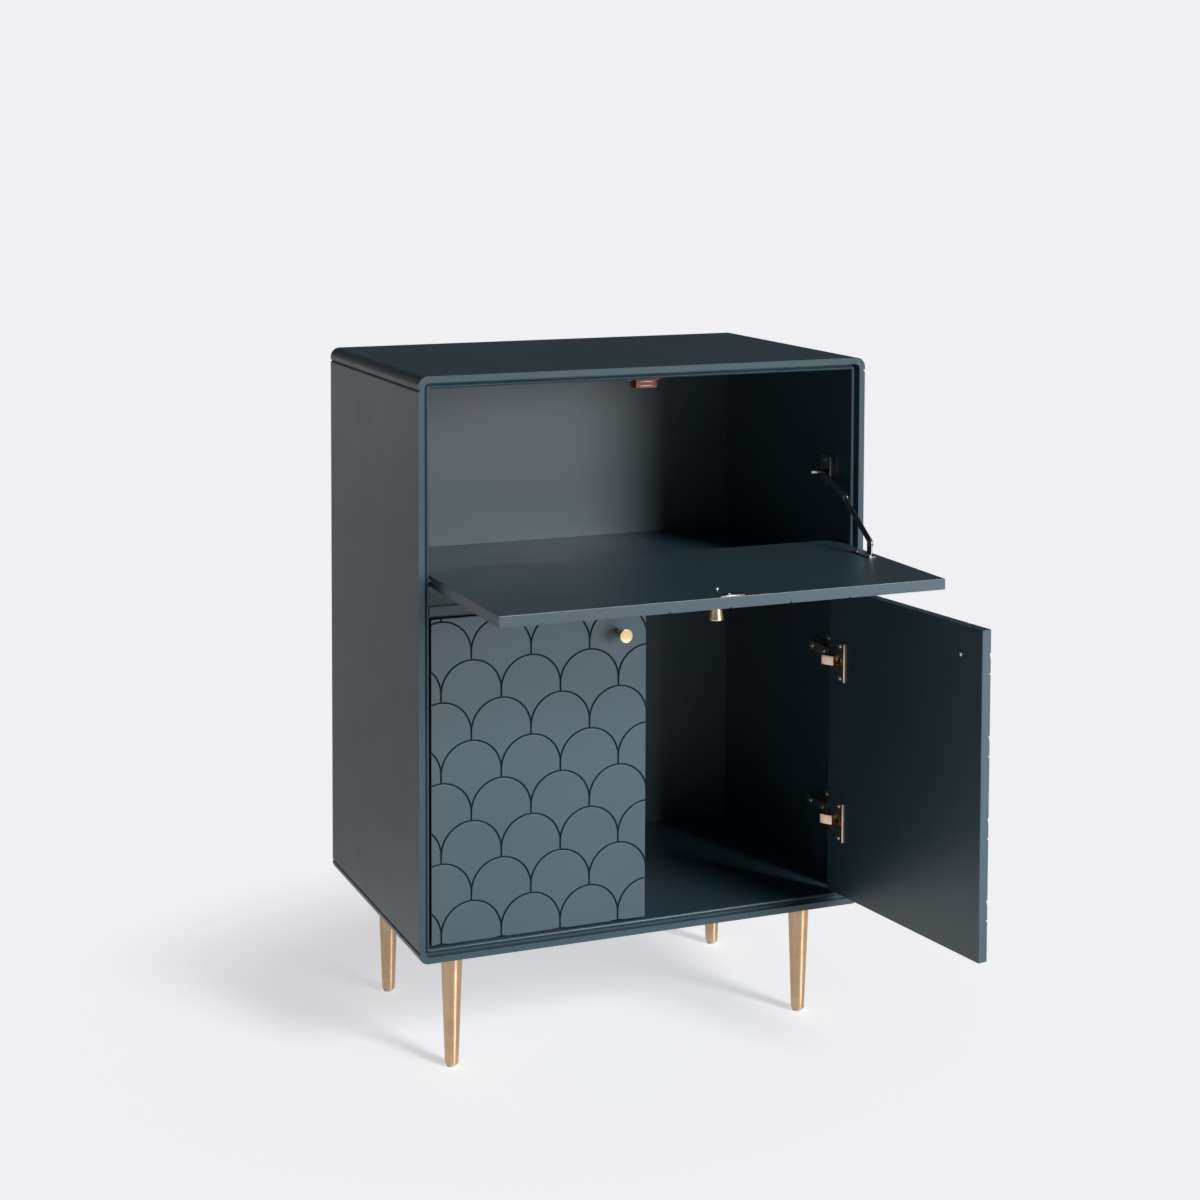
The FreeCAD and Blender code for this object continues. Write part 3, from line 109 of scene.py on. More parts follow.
def with_modifiers_applied(piece, sharp_angle=35.0):
    """Turns a piece's modifiers into mesh, smooth but for its sharp edges and wide flats."""
    made = bpy.data.meshes.new_from_object(
        piece.evaluated_get(bpy.context.evaluated_depsgraph_get())
    )
    piece.modifiers.clear()
    piece.data = made
    made.name = piece.name
    made.set_sharp_from_angle(angle=math.radians(sharp_angle))
    widest_smooth = 0.0003
    for face in made.polygons:
        face.use_smooth = face.area < widest_smooth
    return piece


def eased(piece, ease, steps=2):
    """Rounds the sharp edges of a piece, as sanding or tumbling leaves them."""
    crease = 40.0
    rounding = piece.modifiers.new("eased_edges", "BEVEL")
    rounding.width = ease
    rounding.segments = steps
    rounding.limit_method = "ANGLE"
    rounding.angle_limit = math.radians(crease)
    rounding.use_clamp_overlap = True
    return with_modifiers_applied(piece)


def eased_copy(node, name, ease, steps=2):
    """A copy of a node's solid with eased edges."""
    mesh = frame["nodes"][node].data.copy()
    work = bmesh.new()
    work.from_mesh(mesh)
    bmesh.ops.remove_doubles(work, verts=work.verts, dist=2e-6)
    bmesh.ops.dissolve_limit(
        work, angle_limit=math.radians(0.6), verts=work.verts, edges=work.edges
    )
    work.to_mesh(mesh)
    work.free()
    if "custom_normal" in mesh.attributes:
        mesh.attributes.remove(mesh.attributes["custom_normal"])
    return eased(placed(name, mesh), ease, steps)


board_lacquer = satin_lacquer("petrol_board_lacquer", (0.042, 0.085, 0.109), 0.34, gleam=0.52)
back_lacquer = satin_lacquer("petrol_back_lacquer", (0.042, 0.084, 0.107), 0.38, gleam=1.0)
for board in ("top_panel", "bottom_panel", "left_side_panel", "right_side_panel", "middle_shelf"):
    piece = eased_copy(board, board + "_board", 0.0006)
    finished(piece, board_lacquer, "cabinet", "lacquered_board", board)
piece = eased_copy("back_panel", "back_panel_board", 0.0004)
finished(piece, back_lacquer, "cabinet", "lacquered_back", "back_panel")


# Scaled fronts: the flap and the two doors. Each is a 15 mm lacquered board whose outer face is
# cut into fish scales by rounded grooves, in rows 57 mm apart, half a scale apart, trimmed to the
# front's edges. Places are given from the carcass's middle with the fronts closed.

CARCASS_MIDDLE = (-0.0181, 0.155, 0)
SCALE_RADIUS = 0.045
SCALE_ROW = 0.057
SCALE_SECTION = (
    (0.00095, 0.00195),
    (0.00103, 0.0015),
    (0.00107, 0.0007),
    (0.00118, 0.00035),
    (0.00135, 0.00012),
    (0.0016, 0.00002),
    (0.0018, 0.0),
    (0.002, 0.0),
)
FRONT_FACE = -0.198
FRONT_INNER_FACE = -0.183
FRONT_HALF = 0.329
HINGE_LEVELS = {"lower": 0.3105, "upper": 0.5505}
CUP_ACROSS = 0.3085
CUP_HOLE_RADIUS = 0.01765
CUP_HOLE_DEPTH = 0.0112


def scale_loop(inset):
    """The outline of one scale, drawn in by the inset, as (across, up) from its arch's centre."""
    radius = SCALE_RADIUS - inset
    lower = SCALE_RADIUS + inset
    arch_steps = 28
    lower_steps = 14
    loop = []
    for step in range(arch_steps + 1):
        turn = math.pi * step / arch_steps
        loop.append((radius * math.cos(turn), radius * math.sin(turn)))
    start = math.acos(inset / lower)
    end = math.acos(SCALE_RADIUS / lower)
    left_side = []
    for step in range(lower_steps + 1):
        turn = start + (end - start) * step / lower_steps
        left_side.append(
            (lower * math.cos(turn) - SCALE_RADIUS, lower * math.sin(turn) - SCALE_ROW)
        )
    loop += left_side
    loop += [(-across, up) for across, up in reversed(left_side[:-1])]
    return loop


def scale_tile():
    """One scale as a closed shell, its face at the front's outer face."""
    work = bmesh.new()
    rings = []
    for inset, depth in SCALE_SECTION:
        rings.append(
            [work.verts.new((across, FRONT_FACE + depth, up)) for across, up in scale_loop(inset)]
        )
    for outer, inner in zip(rings, rings[1:]):
        for index in range(len(outer)):
            work.faces.new((outer[index - 1], outer[index], inner[index], inner[index - 1]))
    work.faces.new(rings[-1])
    work.faces.new(rings[0][::-1])
    bmesh.ops.recalc_face_normals(work, faces=work.faces)
    mesh = bpy.data.meshes.new("scale_tile")
    work.to_mesh(mesh)
    work.free()
    return placed("scale_tile", mesh)


def scale_rows_tree(finish):
    """Lays the tile out on rows of points, every second row shifted by half a scale."""
    tree = bpy.data.node_groups.new("scale_rows", "GeometryNodeTree")
    face = tree.interface
    face.new_socket("Geometry", in_out="INPUT", socket_type="NodeSocketGeometry")
    for name in ("Tile", "Width", "Height", "Columns", "Rows", "Row height", "Half scale"):
        kind = {
            "Tile": "NodeSocketObject",
            "Columns": "NodeSocketInt",
            "Rows": "NodeSocketInt",
        }.get(name, "NodeSocketFloat")
        face.new_socket(name, in_out="INPUT", socket_type=kind)
    face.new_socket("Geometry", in_out="OUTPUT", socket_type="NodeSocketGeometry")
    node = tree.nodes.new
    link = tree.links.new
    given = node("NodeGroupInput")
    result = node("NodeGroupOutput")
    grid = node("GeometryNodeMeshGrid")
    link(given.outputs["Width"], grid.inputs["Size X"])
    link(given.outputs["Height"], grid.inputs["Size Y"])
    link(given.outputs["Columns"], grid.inputs["Vertices X"])
    link(given.outputs["Rows"], grid.inputs["Vertices Y"])
    spot = node("GeometryNodeInputPosition")
    parts = node("ShaderNodeSeparateXYZ")
    link(spot.outputs["Position"], parts.inputs["Vector"])
    half_height = node("ShaderNodeMath")
    half_height.operation = "MULTIPLY_ADD"
    half_height.inputs[1].default_value = 0.5
    link(given.outputs["Height"], half_height.inputs[0])
    link(parts.outputs["Y"], half_height.inputs[2])
    row = node("ShaderNodeMath")
    row.operation = "DIVIDE"
    link(half_height.outputs["Value"], row.inputs[0])
    link(given.outputs["Row height"], row.inputs[1])
    whole = node("ShaderNodeMath")
    whole.operation = "ROUND"
    link(row.outputs["Value"], whole.inputs[0])
    odd = node("ShaderNodeMath")
    odd.operation = "MODULO"
    odd.inputs[1].default_value = 2.0
    link(whole.outputs["Value"], odd.inputs[0])
    shift = node("ShaderNodeMath")
    shift.operation = "MULTIPLY"
    link(odd.outputs["Value"], shift.inputs[0])
    link(given.outputs["Half scale"], shift.inputs[1])
    offset = node("ShaderNodeCombineXYZ")
    link(shift.outputs["Value"], offset.inputs["X"])
    moved = node("GeometryNodeSetPosition")
    link(grid.outputs["Mesh"], moved.inputs["Geometry"])
    link(offset.outputs["Vector"], moved.inputs["Offset"])
    upright = node("GeometryNodeTransform")
    upright.inputs["Rotation"].default_value = (math.pi / 2, 0, 0)
    link(moved.outputs["Geometry"], upright.inputs["Geometry"])
    tile = node("GeometryNodeObjectInfo")
    link(given.outputs["Tile"], tile.inputs["Object"])
    each = node("GeometryNodeInstanceOnPoints")
    link(upright.outputs["Geometry"], each.inputs["Points"])
    link(tile.outputs["Geometry"], each.inputs["Instance"])
    real = node("GeometryNodeRealizeInstances")
    link(each.outputs["Instances"], real.inputs["Geometry"])
    coat = node("GeometryNodeSetMaterial")
    coat.inputs["Material"].default_value = finish
    link(real.outputs["Geometry"], coat.inputs["Geometry"])
    link(coat.outputs["Geometry"], result.inputs["Geometry"])
    return tree


def set_inputs(modifier, **values):
    """Sets a tree's named inputs by the identifiers of their sockets."""
    for item in modifier.node_group.interface.items_tree:
        name = item.name.lower().replace(" ", "_")
        if item.in_out == "INPUT" and name in values:
            modifier[item.identifier] = values[name]


def scale_field(name, left, low, right, high, finish):
    """The scales of one front, trimmed to its four edges."""
    columns = int((right - left) / (2 * SCALE_RADIUS)) + 4
    rows = int((high - low) / SCALE_ROW) + 2
    first = math.floor(left / (2 * SCALE_RADIUS)) - 1
    width = (columns - 1) * 2 * SCALE_RADIUS
    height = (rows - 1) * SCALE_ROW
    field = placed(name, bpy.data.meshes.new(name))
    layout = field.modifiers.new("scale_rows", "NODES")
    layout.node_group = scale_rows_tree(finish)
    set_inputs(
        layout,
        tile=tile,
        width=width,
        height=height,
        columns=columns,
        rows=rows,
        row_height=SCALE_ROW,
        half_scale=SCALE_RADIUS,
    )
    bpy.context.view_layer.update()
    made = bpy.data.meshes.new_from_object(
        field.evaluated_get(bpy.context.evaluated_depsgraph_get())
    )
    field.modifiers.clear()
    bpy.data.objects.remove(field)
    middle = first * 2 * SCALE_RADIUS + width / 2
    first_arch = low + SCALE_ROW - SCALE_RADIUS
    made.transform(Matrix.Translation((middle, 0, first_arch + height / 2)))
    work = bmesh.new()
    work.from_mesh(made)
    for spot, outward in (
        ((left, 0, 0), (-1, 0, 0)),
        ((right, 0, 0), (1, 0, 0)),
        ((0, 0, low), (0, 0, -1)),
        ((0, 0, high), (0, 0, 1)),
    ):
        bmesh.ops.bisect_plane(
            work,
            geom=work.verts[:] + work.edges[:] + work.faces[:],
            plane_co=spot,
            plane_no=outward,
            clear_outer=True,
            dist=1e-6,
        )
        open_edges = [edge for edge in work.edges if edge.is_boundary]
        bmesh.ops.holes_fill(work, edges=open_edges, sides=0)
    lip = []
    for edge in work.edges:
        start, end = (corner.co for corner in edge.verts)
        on_face = max(start.y, end.y) < FRONT_FACE + 1e-6
        from_sides = [abs(start.x - side) + abs(end.x - side) for side in (left, right)]
        from_ends = [abs(start.z - level) + abs(end.z - level) for level in (low, high)]
        if on_face and min(from_sides + from_ends) < 2e-6:
            lip.append(edge)
    bmesh.ops.bevel(work, geom=lip, offset=0.0005, segments=2, affect="EDGES", clamp_overlap=True)
    work.to_mesh(made)
    work.free()
    return made


def box_mesh(name, low_corner, high_corner):
    work = bmesh.new()
    bmesh.ops.create_cube(work, size=1.0)
    low_corner = Vector(low_corner)
    high_corner = Vector(high_corner)
    size = high_corner - low_corner
    for corner in work.verts:
        corner.co = Vector(
            low_corner[axis] + (corner.co[axis] + 0.5) * size[axis] for axis in range(3)
        )
    mesh = bpy.data.meshes.new(name)
    work.to_mesh(mesh)
    work.free()
    return mesh


def turned_mesh(name, profile, steps):
    """A turned piece about its own Z axis, from (radius, height) points that end on the axis."""
    work = bmesh.new()
    rings = []
    for radius, height in profile:
        if radius == 0:
            rings.append([work.verts.new((0, 0, height))])
            continue
        ring = []
        for step in range(steps):
            turn = 2 * math.pi * step / steps
            ring.append(work.verts.new((radius * math.cos(turn), radius * math.sin(turn), height)))
        rings.append(ring)
    for lower, upper in zip(rings, rings[1:]):
        for index in range(steps):
            corners = [lower[(index - 1) % len(lower)], lower[index % len(lower)]]
            corners += [upper[index % len(upper)], upper[(index - 1) % len(upper)]]
            unique = list(dict.fromkeys(corners))
            if len(unique) > 2:
                work.faces.new(unique)
    bmesh.ops.recalc_face_normals(work, faces=work.faces)
    mesh = bpy.data.meshes.new(name)
    work.to_mesh(mesh)
    work.free()
    return mesh


def standing(spot, heading):
    """The matrix that stands a piece's Z axis at a spot, along a heading."""
    turn = Vector(heading).to_track_quat("Z", "Y").to_matrix().to_4x4()
    return Matrix.Translation(Vector(spot)) @ turn


def joint_entry(name):
    return next(entry for entry in frame["joints"] if entry["name"] == name)


def opened_by(joint_name):
    """The matrix that swings a front from its closed place to where it stands at rest."""
    joint = joint_entry(joint_name)
    spot = Vector(joint["pos_m"])
    turn = Matrix.Rotation(-math.radians(joint["range_deg"][1]), 4, Vector(joint["axis"]))
    return Matrix.Translation(spot) @ turn @ Matrix.Translation(-spot)


def carved(piece, cutter_meshes, operation="DIFFERENCE"):
    """Cuts the meshes out of the piece, or joins them to it."""
    for number, cutter_mesh in enumerate(cutter_meshes):
        cutter = placed(f"{piece.name}_cutter_{number}", cutter_mesh)
        cut = piece.modifiers.new("cut", "BOOLEAN")
        cut.operation = operation
        cut.object = cutter
        cut.solver = "EXACT"
        made = bpy.data.meshes.new_from_object(
            piece.evaluated_get(bpy.context.evaluated_depsgraph_get())
        )
        piece.modifiers.clear()
        piece.data = made
        bpy.data.objects.remove(cutter)
    return piece


def scaled_front(name, left, low, right, high, finish, holes):
    """A whole front in its closed place: the board behind and its field of scales."""
    floor = FRONT_FACE + 0.0019
    board = placed(name, box_mesh(name, (left, floor, low), (right, FRONT_INNER_FACE, high)))
    carved(board, holes)
    work = bmesh.new()
    work.from_mesh(board.data)
    rim = []
    for edge in work.edges:
        start, end = (corner.co for corner in edge.verts)
        if min(start.y, end.y) > FRONT_INNER_FACE - 1e-6 and edge.calc_length() > 0.1:
            rim.append(edge)
    bmesh.ops.bevel(work, geom=rim, offset=0.0006, segments=2, affect="EDGES", clamp_overlap=True)
    work.from_mesh(scale_field(name + "_scales", left, low, right, high, finish))
    bmesh.ops.recalc_face_normals(work, faces=work.faces)
    work.to_mesh(board.data)
    work.free()
    return with_modifiers_applied(board, 30.0)


def paint_groove_shade(piece, opened):
    """Paints shade into the grooves of a finished front, a darker and duller lacquer on their walls
    and floors, but not on its edges.
    """
    piece.data.materials.append(groove_painted_shade)
    closing = opened.inverted()
    spots = [closing @ face.center for face in piece.data.polygons]
    margin = 0.0001
    inside = set(range(len(spots)))
    for axis in (0, 2):
        low = min(spot[axis] for spot in spots) + margin
        high = max(spot[axis] for spot in spots) - margin
        inside = {index for index in inside if low < spots[index][axis] < high}
    lip_depth = 0.0009
    floor_depth = 0.00196
    # faces between the lip and the groove's floor get the painted shade
    for index in inside:
        if lip_depth < spots[index].y - FRONT_FACE < floor_depth:
            piece.data.polygons[index].material_index = 1


front_lacquer = satin_lacquer("petrol_front_lacquer", (0.042, 0.086, 0.111), 0.36, gleam=0.9)
# painted shade: a darker, duller copy of the front lacquer that stands for the shade falling in the
# grooves
groove_painted_shade = satin_lacquer("petrol_groove_lacquer", (0.012, 0.023, 0.030), 0.6, gleam=0.2)
tile = scale_tile()
home = Matrix.Translation(CARCASS_MIDDLE)
flap_opened = opened_by("flap_turn") @ home
door_opened = {"left": home, "right": opened_by("right_door_turn") @ home}
FLAP_LOW = 0.6825
FLAP_HIGH = 0.9795
DOOR_LOW = 0.2005
DOOR_HIGH = 0.6605
DOOR_GAP_HALF = 0.002
flap = scaled_front(
    "flap_board", -FRONT_HALF, FLAP_LOW, FRONT_HALF, FLAP_HIGH, front_lacquer, []
)
flap.data.transform(flap_opened)
finished(flap, front_lacquer, "flap", "lacquered_front", "drop_flap")
paint_groove_shade(flap, flap_opened)
for side, sign in (("left", -1), ("right", 1)):
    cup_holes = []
    for level in HINGE_LEVELS.values():
        spot = (sign * CUP_ACROSS, FRONT_INNER_FACE + 0.001, level)
        depth = CUP_HOLE_DEPTH + 0.001
        profile = ((0, 0), (CUP_HOLE_RADIUS, 0), (CUP_HOLE_RADIUS, depth), (0, depth))
        hole = turned_mesh("cup_hole", profile, 40)
        hole.transform(standing(spot, (0, -1, 0)))
        cup_holes.append(hole)
    left, right = sorted((sign * DOOR_GAP_HALF, sign * FRONT_HALF))
    door = scaled_front(
        side + "_door_board", left, DOOR_LOW, right, DOOR_HIGH, front_lacquer, cup_holes
    )
    door.data.transform(door_opened[side])
    finished(door, front_lacquer, side + "_door_leaf", "lacquered_front", side + "_door")
    paint_groove_shade(door, door_opened[side])
bpy.data.objects.remove(tile)


# Knobs: three solid brass cones, 27 mm long, that widen to a flat face with a soft rim. Turned
# on a lathe, so the satin lines run round them, and held by a screw through the front.


def satin_metal(name, colour, roughness, stretch, line_scale=900.0, depth=0.05, turned=0.0):
    """Metal with fine brushed lines: the stretch squeezes the noise along the way of brushing.
    Lines turned round an upright piece draw its highlights out along it."""
    finish = bpy.data.materials.new(name)
    finish.use_nodes = True
    nodes = finish.node_tree.nodes
    links = finish.node_tree.links
    shader = nodes["Principled BSDF"]
    shader.inputs["Metallic"].default_value = 1.0
    if turned:
        shader.inputs["Anisotropic"].default_value = turned
        shader.inputs["Anisotropic Rotation"].default_value = 0.25
        around = nodes.new("ShaderNodeTangent")
        around.direction_type = "RADIAL"
        around.axis = "Z"
        links.new(around.outputs["Tangent"], shader.inputs["Tangent"])
    place = nodes.new("ShaderNodeTexCoord")
    mapping = nodes.new("ShaderNodeMapping")
    mapping.inputs["Scale"].default_value = stretch
    links.new(place.outputs["Object"], mapping.inputs["Vector"])
    lines = nodes.new("ShaderNodeTexNoise")
    lines.inputs["Scale"].default_value = line_scale
    lines.inputs["Detail"].default_value = 3.0
    links.new(mapping.outputs["Vector"], lines.inputs["Vector"])
    tone = nodes.new("ShaderNodeTexNoise")
    tone.inputs["Scale"].default_value = 40.0
    tone.inputs["Detail"].default_value = 2.0
    links.new(place.outputs["Object"], tone.inputs["Vector"])
    tint = nodes.new("ShaderNodeValToRGB")
    tint.color_ramp.elements[0].position = 0.3
    tint.color_ramp.elements[1].position = 0.7
    tint.color_ramp.elements[0].color = [part * 0.9 for part in colour] + [1]
    tint.color_ramp.elements[1].color = [min(1.0, part * 1.06) for part in colour] + [1]
    links.new(tone.outputs["Fac"], tint.inputs["Fac"])
    links.new(tint.outputs["Color"], shader.inputs["Base Color"])
    gloss = nodes.new("ShaderNodeMapRange")
    gloss.inputs["To Min"].default_value = roughness - 0.07
    gloss.inputs["To Max"].default_value = roughness + 0.09
    links.new(lines.outputs["Fac"], gloss.inputs["Value"])
    links.new(gloss.outputs["Result"], shader.inputs["Roughness"])
    bump = nodes.new("ShaderNodeBump")
    bump.inputs["Strength"].default_value = depth
    bump.inputs["Distance"].default_value = 0.0004
    links.new(lines.outputs["Fac"], bump.inputs["Height"])
    links.new(bump.outputs["Normal"], shader.inputs["Normal"])
    return finish


def turned_piece(name, profile, matrix, steps):
    mesh = turned_mesh(name, profile, steps)
    mesh.transform(matrix)
    return with_modifiers_applied(placed(name, mesh), 40.0)


knob_brass = satin_metal("satin_knob_brass", (0.86, 0.68, 0.40), 0.33, (1, 1, 1), 500.0)
knob_profile = (
    (0, 0),
    (0.0053, 0),
    (0.00575, 0.0005),
    (0.00645, 0.005),
    (0.0079, 0.0145),
    (0.0096, 0.0248),
    (0.00985, 0.0258),
    (0.0099, 0.0263),
    (0.0097, 0.0268),
    (0.0092, 0.027),
    (0.0084, 0.02695),
    (0.0078, 0.0268),
    (0.004, 0.02672),
    (0, 0.0267),
)
knob_spots = {
    "left_door_knob": ((-0.045, FRONT_FACE, 0.620), door_opened["left"], "left_door_leaf"),
    "right_door_knob": ((0.045, FRONT_FACE, 0.620), door_opened["right"], "right_door_leaf"),
    "flap_knob": ((0.005, FRONT_FACE, 0.9275), flap_opened, "flap"),
}
for node, (spot, opened, body) in knob_spots.items():
    knob = turned_piece(node + "_turning", knob_profile, opened @ standing(spot, (0, -1, 0)), 56)
    finished(knob, knob_brass, body, "brass_knob", node)


# Legs: four tapered brass legs, 32 mm across at the top and 19.5 mm at the foot, with fine turned
# lines round them, each on a stud in the bottom board and a pale plastic glide.

leg_brass = satin_metal(
    "turned_leg_brass", (0.72, 0.49, 0.30), 0.38, (0.02, 0.02, 1), 900.0, 0.05, turned=0.9
)
glide_plastic = satin_lacquer(
    "pale_glide_plastic", (0.80, 0.76, 0.70), 0.5, cloud=0.03, peel=0.02
)
leg_profile = (
    (0, 0.004),
    (0.0088, 0.004),
    (0.0094, 0.0043),
    (0.00978, 0.0052),
    (0.01055, 0.026),
    (0.0124, 0.078),
    (0.0142, 0.128),
    (0.0159, 0.1755),
    (0.016, 0.1775),
    (0.0157, 0.178),
    (0, 0.178),
)
glide_profile = (
    (0, 0),
    (0.0066, 0),
    (0.0073, 0.0004),
    (0.0075, 0.0012),
    (0.0075, 0.004),
    (0, 0.004),
)
glides = bmesh.new()
for row, back in (("front", -0.145), ("back", 0.140)):
    for side, sign in (("left", -1), ("right", 1)):
        spot = home @ Matrix.Translation((sign * 0.280, back, 0))
        node = f"{side}_{row}_leg"
        leg = turned_piece(node + "_turning", leg_profile, spot, 64)
        finished(leg, leg_brass, "cabinet", "brass_leg", node)
        foot = turned_mesh("glide", glide_profile, 40)
        foot.transform(spot)
        glides.from_mesh(foot)
glide_mesh = bpy.data.meshes.new("leg_glide_feet")
glides.to_mesh(glide_mesh)
glides.free()
glide_piece = with_modifiers_applied(placed("leg_glide_feet", glide_mesh), 40.0)
finished(glide_piece, glide_plastic, "cabinet", "plastic_glide", "leg_glides")


# Screws: zinc-plated cross-head screws wherever hardware is fixed to board, and one pan-head
# screw behind each knob. Each group is one head repeated at the places of its screws.

zinc = satin_metal("zinc_plate", (0.72, 0.71, 0.69), 0.28, (1, 1, 1), 700.0, 0.04)


def screw_head(radius, height):
    """A domed head with a tapered cross recess, standing on its own origin."""
    profile = (
        (0, -0.0006),
        (radius, -0.0006),
        (radius, height * 0.35),
        (radius * 0.93, height * 0.68),
        (radius * 0.74, height * 0.9),
        (radius * 0.4, height),
        (0, height),
    )
    head = placed("screw_head", turned_mesh("screw_head", profile, 28))
    arm = radius * 0.58
    half = radius * 0.11
    sunk = height * 0.35
    slots = []
    for wide, deep in ((arm, half), (half, arm)):
        slots.append(box_mesh("recess", (-wide, -deep, sunk), (wide, deep, height * 1.4)))
    carved(head, slots)
    return with_modifiers_applied(head, 35.0)


def screw_places_tree(finish):
    """Stands one head on every point, turned to the point's own heading."""
    tree = bpy.data.node_groups.new("screw_places", "GeometryNodeTree")
    face = tree.interface
    face.new_socket("Geometry", in_out="INPUT", socket_type="NodeSocketGeometry")
    face.new_socket("Head", in_out="INPUT", socket_type="NodeSocketObject")
    face.new_socket("Geometry", in_out="OUTPUT", socket_type="NodeSocketGeometry")
    node = tree.nodes.new
    link = tree.links.new
    given = node("NodeGroupInput")
    result = node("NodeGroupOutput")
    head = node("GeometryNodeObjectInfo")
    link(given.outputs["Head"], head.inputs["Object"])
    heading = node("GeometryNodeInputNamedAttribute")
    heading.data_type = "FLOAT_VECTOR"
    heading.inputs["Name"].default_value = "heading"
    turn = node("FunctionNodeAlignRotationToVector")
    turn.axis = "Z"
    link(heading.outputs["Attribute"], turn.inputs["Vector"])
    each = node("GeometryNodeInstanceOnPoints")
    link(given.outputs["Geometry"], each.inputs["Points"])
    link(head.outputs["Geometry"], each.inputs["Instance"])
    link(turn.outputs["Rotation"], each.inputs["Rotation"])
    real = node("GeometryNodeRealizeInstances")
    link(each.outputs["Instances"], real.inputs["Geometry"])
    coat = node("GeometryNodeSetMaterial")
    coat.inputs["Material"].default_value = finish
    link(real.outputs["Geometry"], coat.inputs["Geometry"])
    link(coat.outputs["Geometry"], result.inputs["Geometry"])
    return tree


def screws(name, head, places, opened):
    """One mesh of screw heads at (spot, heading) places given in the closed cabinet."""
    spots = bpy.data.meshes.new(name)
    spots.from_pydata([opened @ Vector(spot) for spot, heading in places], [], [])
    turned = opened.to_3x3()
    ways = spots.attributes.new("heading", "FLOAT_VECTOR", "POINT")
    for index, (spot, heading) in enumerate(places):
        ways.data[index].vector = turned @ Vector(heading)
    group = placed(name, spots)
    layout = group.modifiers.new("screw_places", "NODES")
    layout.node_group = screw_places_tree(zinc)
    set_inputs(layout, head=head)
    bpy.context.view_layer.update()
    return with_modifiers_applied(group, 35.0)


small_head = screw_head(0.0036, 0.0018)
knob_head = screw_head(0.004, 0.0022)
back_places = []
for sign in (-1, 1):
    for level in (0.2589, 0.9191):
        back_places.append(((sign * 0.3365, 0.200, level), (0, 1, 0)))
    for level in (0.1915, 0.9865):
        back_places.append(((sign * 0.166, 0.200, level), (0, 1, 0)))
group = screws("back_screw_heads", small_head, back_places, home)
finished(group, zinc, "cabinet", "zinc_steel", "back_panel_screws")
for node, (spot, opened, body) in knob_spots.items():
    place = (spot[0], FRONT_INNER_FACE, spot[2])
    group = screws(node + "_screw_head", knob_head, [(place, (0, 1, 0))], opened)
    finished(group, zinc, body, "zinc_steel", node + "_screw")
frame["nodes"]["leg_studs"].data.materials.clear()
frame["nodes"]["leg_studs"].data.materials.append(zinc)


# Concealed hinges: two on each door, nickel-plated. A cup 35 mm across, with a flange 59 mm tall
# and a raised lip, is let into the door. A hooked link with a broad bow runs from it to a channel
# arm, which its rear screw holds to a cross-shaped plate on the side board.

nickel = satin_metal("nickel_plate", (0.74, 0.55, 0.43), 0.3, (1, 1, 1), 450.0, 0.03)
FLANGE_HALF_HEIGHT = 0.0295
FLANGE_RADIUS = 0.0181
FLANGE_THICKNESS = 0.0014
CUP_PROFILE = (
    (0, -0.011),
    (0.0165, -0.011),
    (0.0174, -0.0102),
    (0.0174, 0.0007),
    (0, 0.0007),
)
LIP_SECTION = ((0.0, 0.0003), (0.0024, 0.0027), (0.0034, 0.0027), (0.0034, 0.0003))
LIP_HALF_HEIGHT = 0.0285
BOW_HALF_HEIGHT = 0.0072
CUP_SCREW_STEP = 0.024
CUP_AXES = Matrix(((1, 0, 0, 0), (0, 0, 1, 0), (0, 1, 0, 0), (0, 0, 0, 1)))
BOW_OUTLINE = (
    (-0.0369, -0.0150),
    (-0.0268, -0.0290),
    (-0.0246, -0.0298),
    (-0.0240, -0.0250),
    (-0.0245, -0.0195),
    (-0.0260, -0.0140),
    (-0.0349, -0.0115),
)


def extruded(name, outline, low, high):
    """A flat plate from an outline of (across, up), between two heights on its own Z axis."""
    work = bmesh.new()
    bottom = [work.verts.new((across, up, low)) for across, up in outline]
    top = [work.verts.new((across, up, high)) for across, up in outline]
    work.faces.new(bottom[::-1])
    work.faces.new(top)
    for index in range(len(outline)):
        work.faces.new((bottom[index - 1], bottom[index], top[index], top[index - 1]))
    bmesh.ops.recalc_face_normals(work, faces=work.faces)
    mesh = bpy.data.meshes.new(name)
    work.to_mesh(mesh)
    work.free()
    return mesh


def rounded_corner(across, up, radius, start):
    """The points of a quarter round about a centre, from a starting angle in degrees."""
    steps = 5
    points = []
    for step in range(steps + 1):
        turn = math.radians(start + 90 * step / steps)
        points.append((across + radius * math.cos(turn), up + radius * math.sin(turn)))
    return points


def flange_outline(inner, outer):
    """The flange: straight towards the door's middle, with two ears beside the cup's round rim."""
    high = FLANGE_HALF_HEIGHT
    corner = 0.003
    steps = 14
    outline = rounded_corner(outer - corner, high - corner, corner, 0)
    outline += rounded_corner(inner + corner / 2, high - corner / 2, corner / 2, 90)
    outline += rounded_corner(inner + corner / 2, corner / 2 - high, corner / 2, 180)
    outline += rounded_corner(outer - corner, corner - high, corner, 270)
    start = math.atan2(-math.sqrt(FLANGE_RADIUS**2 - outer**2), outer)
    for step in range(steps + 1):
        turn = start * (1 - 2 * step / steps)
        outline.append((FLANGE_RADIUS * math.cos(turn), FLANGE_RADIUS * math.sin(turn)))
    return outline


